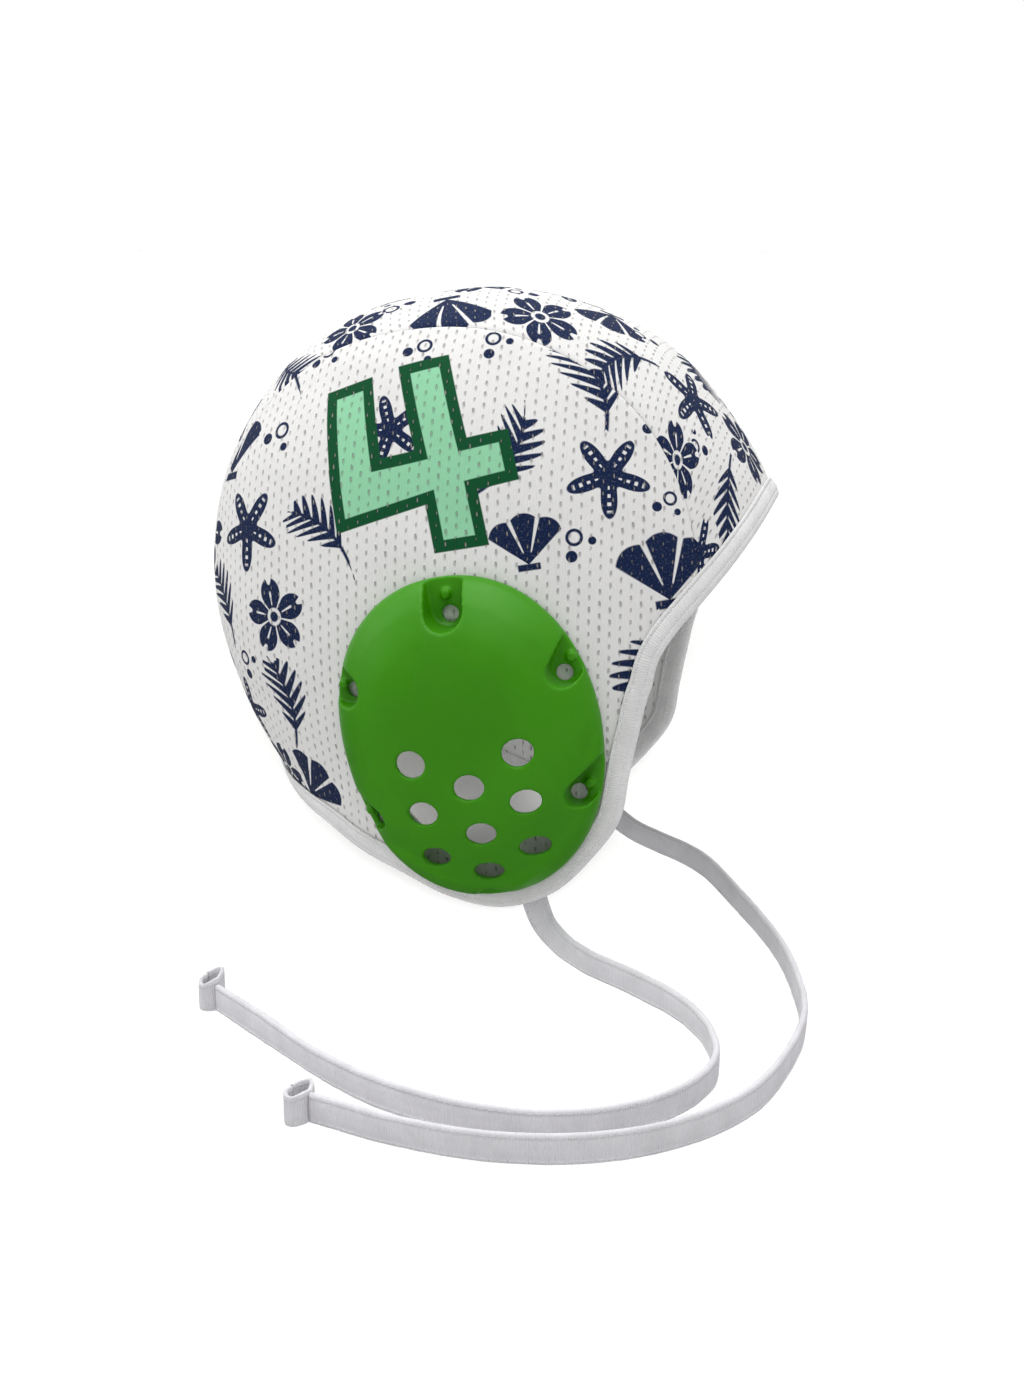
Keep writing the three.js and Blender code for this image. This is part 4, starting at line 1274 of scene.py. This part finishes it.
    def blocks(self, shapes):
        """Bodies over outlines seen from the side, each between two heights over the seat."""
        points, faces = [], []
        for outline, low, high in shapes:
            first, count = len(points), len(outline)
            for height in (low, high):
                points.extend(self.place(*outline.T, height))
            faces += [np.asarray(face) + first for face in capped(2, count)]
        return self.solid("cutter", np.array(points), faces)

    def combine(self, body, tool, operation):
        """Joins, cuts or trims a body with a tool, which is then gone."""
        boolean = body.modifiers.new("Shape", "BOOLEAN")
        boolean.object = tool
        boolean.operation = operation
        boolean.solver = "EXACT"
        finish_modifiers(body)
        bpy.data.objects.remove(tool)

    def polish(self, body):
        """Brings the smooth outer face back to its exact height, away from recesses and holes."""
        p = self.vertices(body).astype(float) * 1000
        u, w = self.form.in_guard(p[:, 0], p[:, 2])
        share = self.form.guard_share(u, w)
        target = self.place(u, w, self.top(np.minimum(share, 1)))[:, 1]
        gap = p[:, 1] - target
        near = np.full(len(p), 99.0)
        for hu, hw in SOUND_HOLES:
            near = np.minimum(near, np.hypot(u - hu, w - hw) - self.hole / 2)
        for row in RECESSES:
            at = self.recess(row, 0)[1]
            for outward in np.linspace(0, row[4], 14):
                spot = at(outward, 0)
                near = np.minimum(near, np.hypot(u - spot[0], w - spot[1]) - row[2])
        weight = smooth((near - 1.0) / 1.5) * smooth((0.975 - share) / 0.03) * (np.abs(gap) < 0.5)
        p[:, 1] += (target - p[:, 1]) * weight
        body.data.vertices.foreach_set("co", (p / 1000).astype(np.float32).ravel())
        body.data.update()


# Level of the floor, and its two shades as seen, its colour in reflections and to other rays
FLOOR_LEVEL = -0.2176
FLOOR_SEEN = ((0.118, 0.118, 0.112), (0.122, 0.122, 0.116))
FLOOR_SHINE = (0.010, 0.010, 0.010)
FLOOR_UNSEEN = (0.084, 0.084, 0.081)
# Soft boxes: name, place, watts, width
SOFT_BOXES = (("key", (0.15, -0.60, 0.85), 2.2, 0.7), ("top", (-0.1, 0.1, 0.9), 4.6, 0.9),
              ("side", (-0.9, -0.2, 0.3), 1.4, 0.6))
LIGHT_AIM = Vector((0, 0, -0.12))
# The lamp that lights only the floor, from beside the camera, so that its shadow lies behind the cap
FLOOR_LIGHT_BESIDE = math.radians(2)
FLOOR_LIGHT_UP = math.radians(13)
FLOOR_LIGHT_WIDTH = math.radians(20)
FLOOR_LIGHT_POWER = 112.0


class CAP_OT_stage(bpy.types.Operator):
    """Sets the pale floor and the soft light"""
    bl_idname = "cap.stage"
    bl_label = "Floor and light"

    def execute(self, context):
        scene = context.scene
        n, shader = new_material("studio_floor", {"Roughness": 0.9, "Specular IOR Level": 0.0})
        seen = n.mix(n.noise(n.out("Object", "ShaderNodeTexCoord"), 6.0), *FLOOR_SEEN)
        self.by_ray(n, seen, FLOOR_SHINE, FLOOR_UNSEEN, shader["Base Color"])
        bpy.ops.object.select_all(action="DESELECT")
        bpy.ops.mesh.primitive_plane_add(size=30, location=(0, 0, FLOOR_LEVEL))
        floor = context.active_object
        floor.name = "studio_floor"
        bpy.ops.object.transform_apply(location=True, rotation=True, scale=True)
        floor.data.materials.append(bpy.data.materials["studio_floor"])

        world = bpy.data.worlds.new("studio")
        world.use_nodes = True
        n = Tree(world.node_tree)
        x, y, z = n.split(n.out("Generated", "ShaderNodeTexCoord"))
        soft = n.steps(z, -0.3, 0.9, 0.5, 1.22) * n.steps(y - x * 0.5, -1.1, 1.1, 0.72, 1.1)
        shine = n.steps(z, 0.45, 0.9, 0.02, 1.5) + n.steps(abs(x), 0.6, 0.98, 0.0, 0.25)
        soft, shine = (n.out(0, "ShaderNodeCombineColor", {0: v, 1: v, 2: v}) for v in (soft, shine))
        self.by_ray(n, (1, 1, 1), shine, soft, world.node_tree.nodes["Background"].inputs["Color"])
        scene.world = world
        scene.view_settings.view_transform = "Standard"

        strength = scene.cap_stage.light
        for name, where, power, size in SOFT_BOXES:
            where = Vector(where)
            self.lamp(scene, name, "AREA", where, power * strength, where - LIGHT_AIM, size=size)
        way = seen_from(scene.cap_stage.azimuth + FLOOR_LIGHT_BESIDE, FLOOR_LIGHT_UP)
        sun = self.lamp(scene, "floor_light", "SUN", way, FLOOR_LIGHT_POWER, way,
                        angle=FLOOR_LIGHT_WIDTH, color=(1, 1, 1.05))
        for job, pieces in (("receiver_collection", [floor]), ("blocker_collection", [
                o for o in scene.objects if o.name.endswith(("_cloth", "_moulding", "binding_tape"))])):
            group = bpy.data.collections.new(f"floor_light_{job}")
            for piece in pieces:
                group.objects.link(piece)
            setattr(sun.light_linking, job, group)
        return {"FINISHED"}

    def by_ray(self, n, seen, shine, rest, socket):
        """One colour for the camera, one for glossy rays and one for all others."""
        path = {s.name: Value(n, s) for s in n.add("ShaderNodeLightPath").outputs}
        n.join(n.mix(path["Is Camera Ray"], n.mix(path["Is Glossy Ray"], rest, shine), seen), socket)

    def lamp(self, scene, name, kind, where, power, way, **settings):
        """A lamp that shines against a direction."""
        data = bpy.data.lights.new(name, kind)
        data.energy = power
        for key, value in settings.items():
            setattr(data, key, value)
        lamp = bpy.data.objects.new(name, data)
        scene.collection.objects.link(lamp)
        lamp.location = where
        lamp.rotation_euler = way.to_track_quat("Z", "Y").to_euler()
        return lamp


class CAP_PT_panel(bpy.types.Panel):
    """Lists the steps in the sidebar"""
    bl_idname = "CAP_PT_panel"
    bl_label = "Water polo cap"
    bl_space_type = "VIEW_3D"
    bl_region_type = "UI"
    bl_category = "Cap"

    def draw(self, context):
        scene = context.scene
        for group in (scene.cap_sizes, scene.cap_guard, scene.cap_ties, scene.cap_colours, scene.cap_stage):
            box = self.layout.box()
            for name in group.__annotations__:
                box.prop(group, name)
        for step in STEPS:
            self.layout.operator(step.bl_idname)


STEPS = (CAP_OT_camera, CAP_OT_ties, CAP_OT_panels, CAP_OT_binding, CAP_OT_guards, CAP_OT_stage)
GROUPS = {"cap_sizes": CapSizes, "cap_guard": GuardSizes, "cap_ties": TieSizes, "cap_colours": CapColours,
          "cap_stage": StageSettings}


def register():
    for cls in (*GROUPS.values(), *STEPS, CAP_PT_panel):
        bpy.utils.register_class(cls)
    for name, cls in GROUPS.items():
        setattr(bpy.types.Scene, name, bpy.props.PointerProperty(type=cls))


def unregister():
    for name in GROUPS:
        delattr(bpy.types.Scene, name)
    for cls in (CAP_PT_panel, *reversed(STEPS), *reversed(GROUPS.values())):
        bpy.utils.unregister_class(cls)


def main():
    register()
    build_materials(bpy.context.scene)
    bpy.ops.cap.camera()
    bpy.ops.cap.ties()
    bpy.ops.cap.panels()
    bpy.ops.cap.binding()
    bpy.ops.cap.guards()
    bpy.ops.cap.stage()


if __name__ == "__main__":
    main()
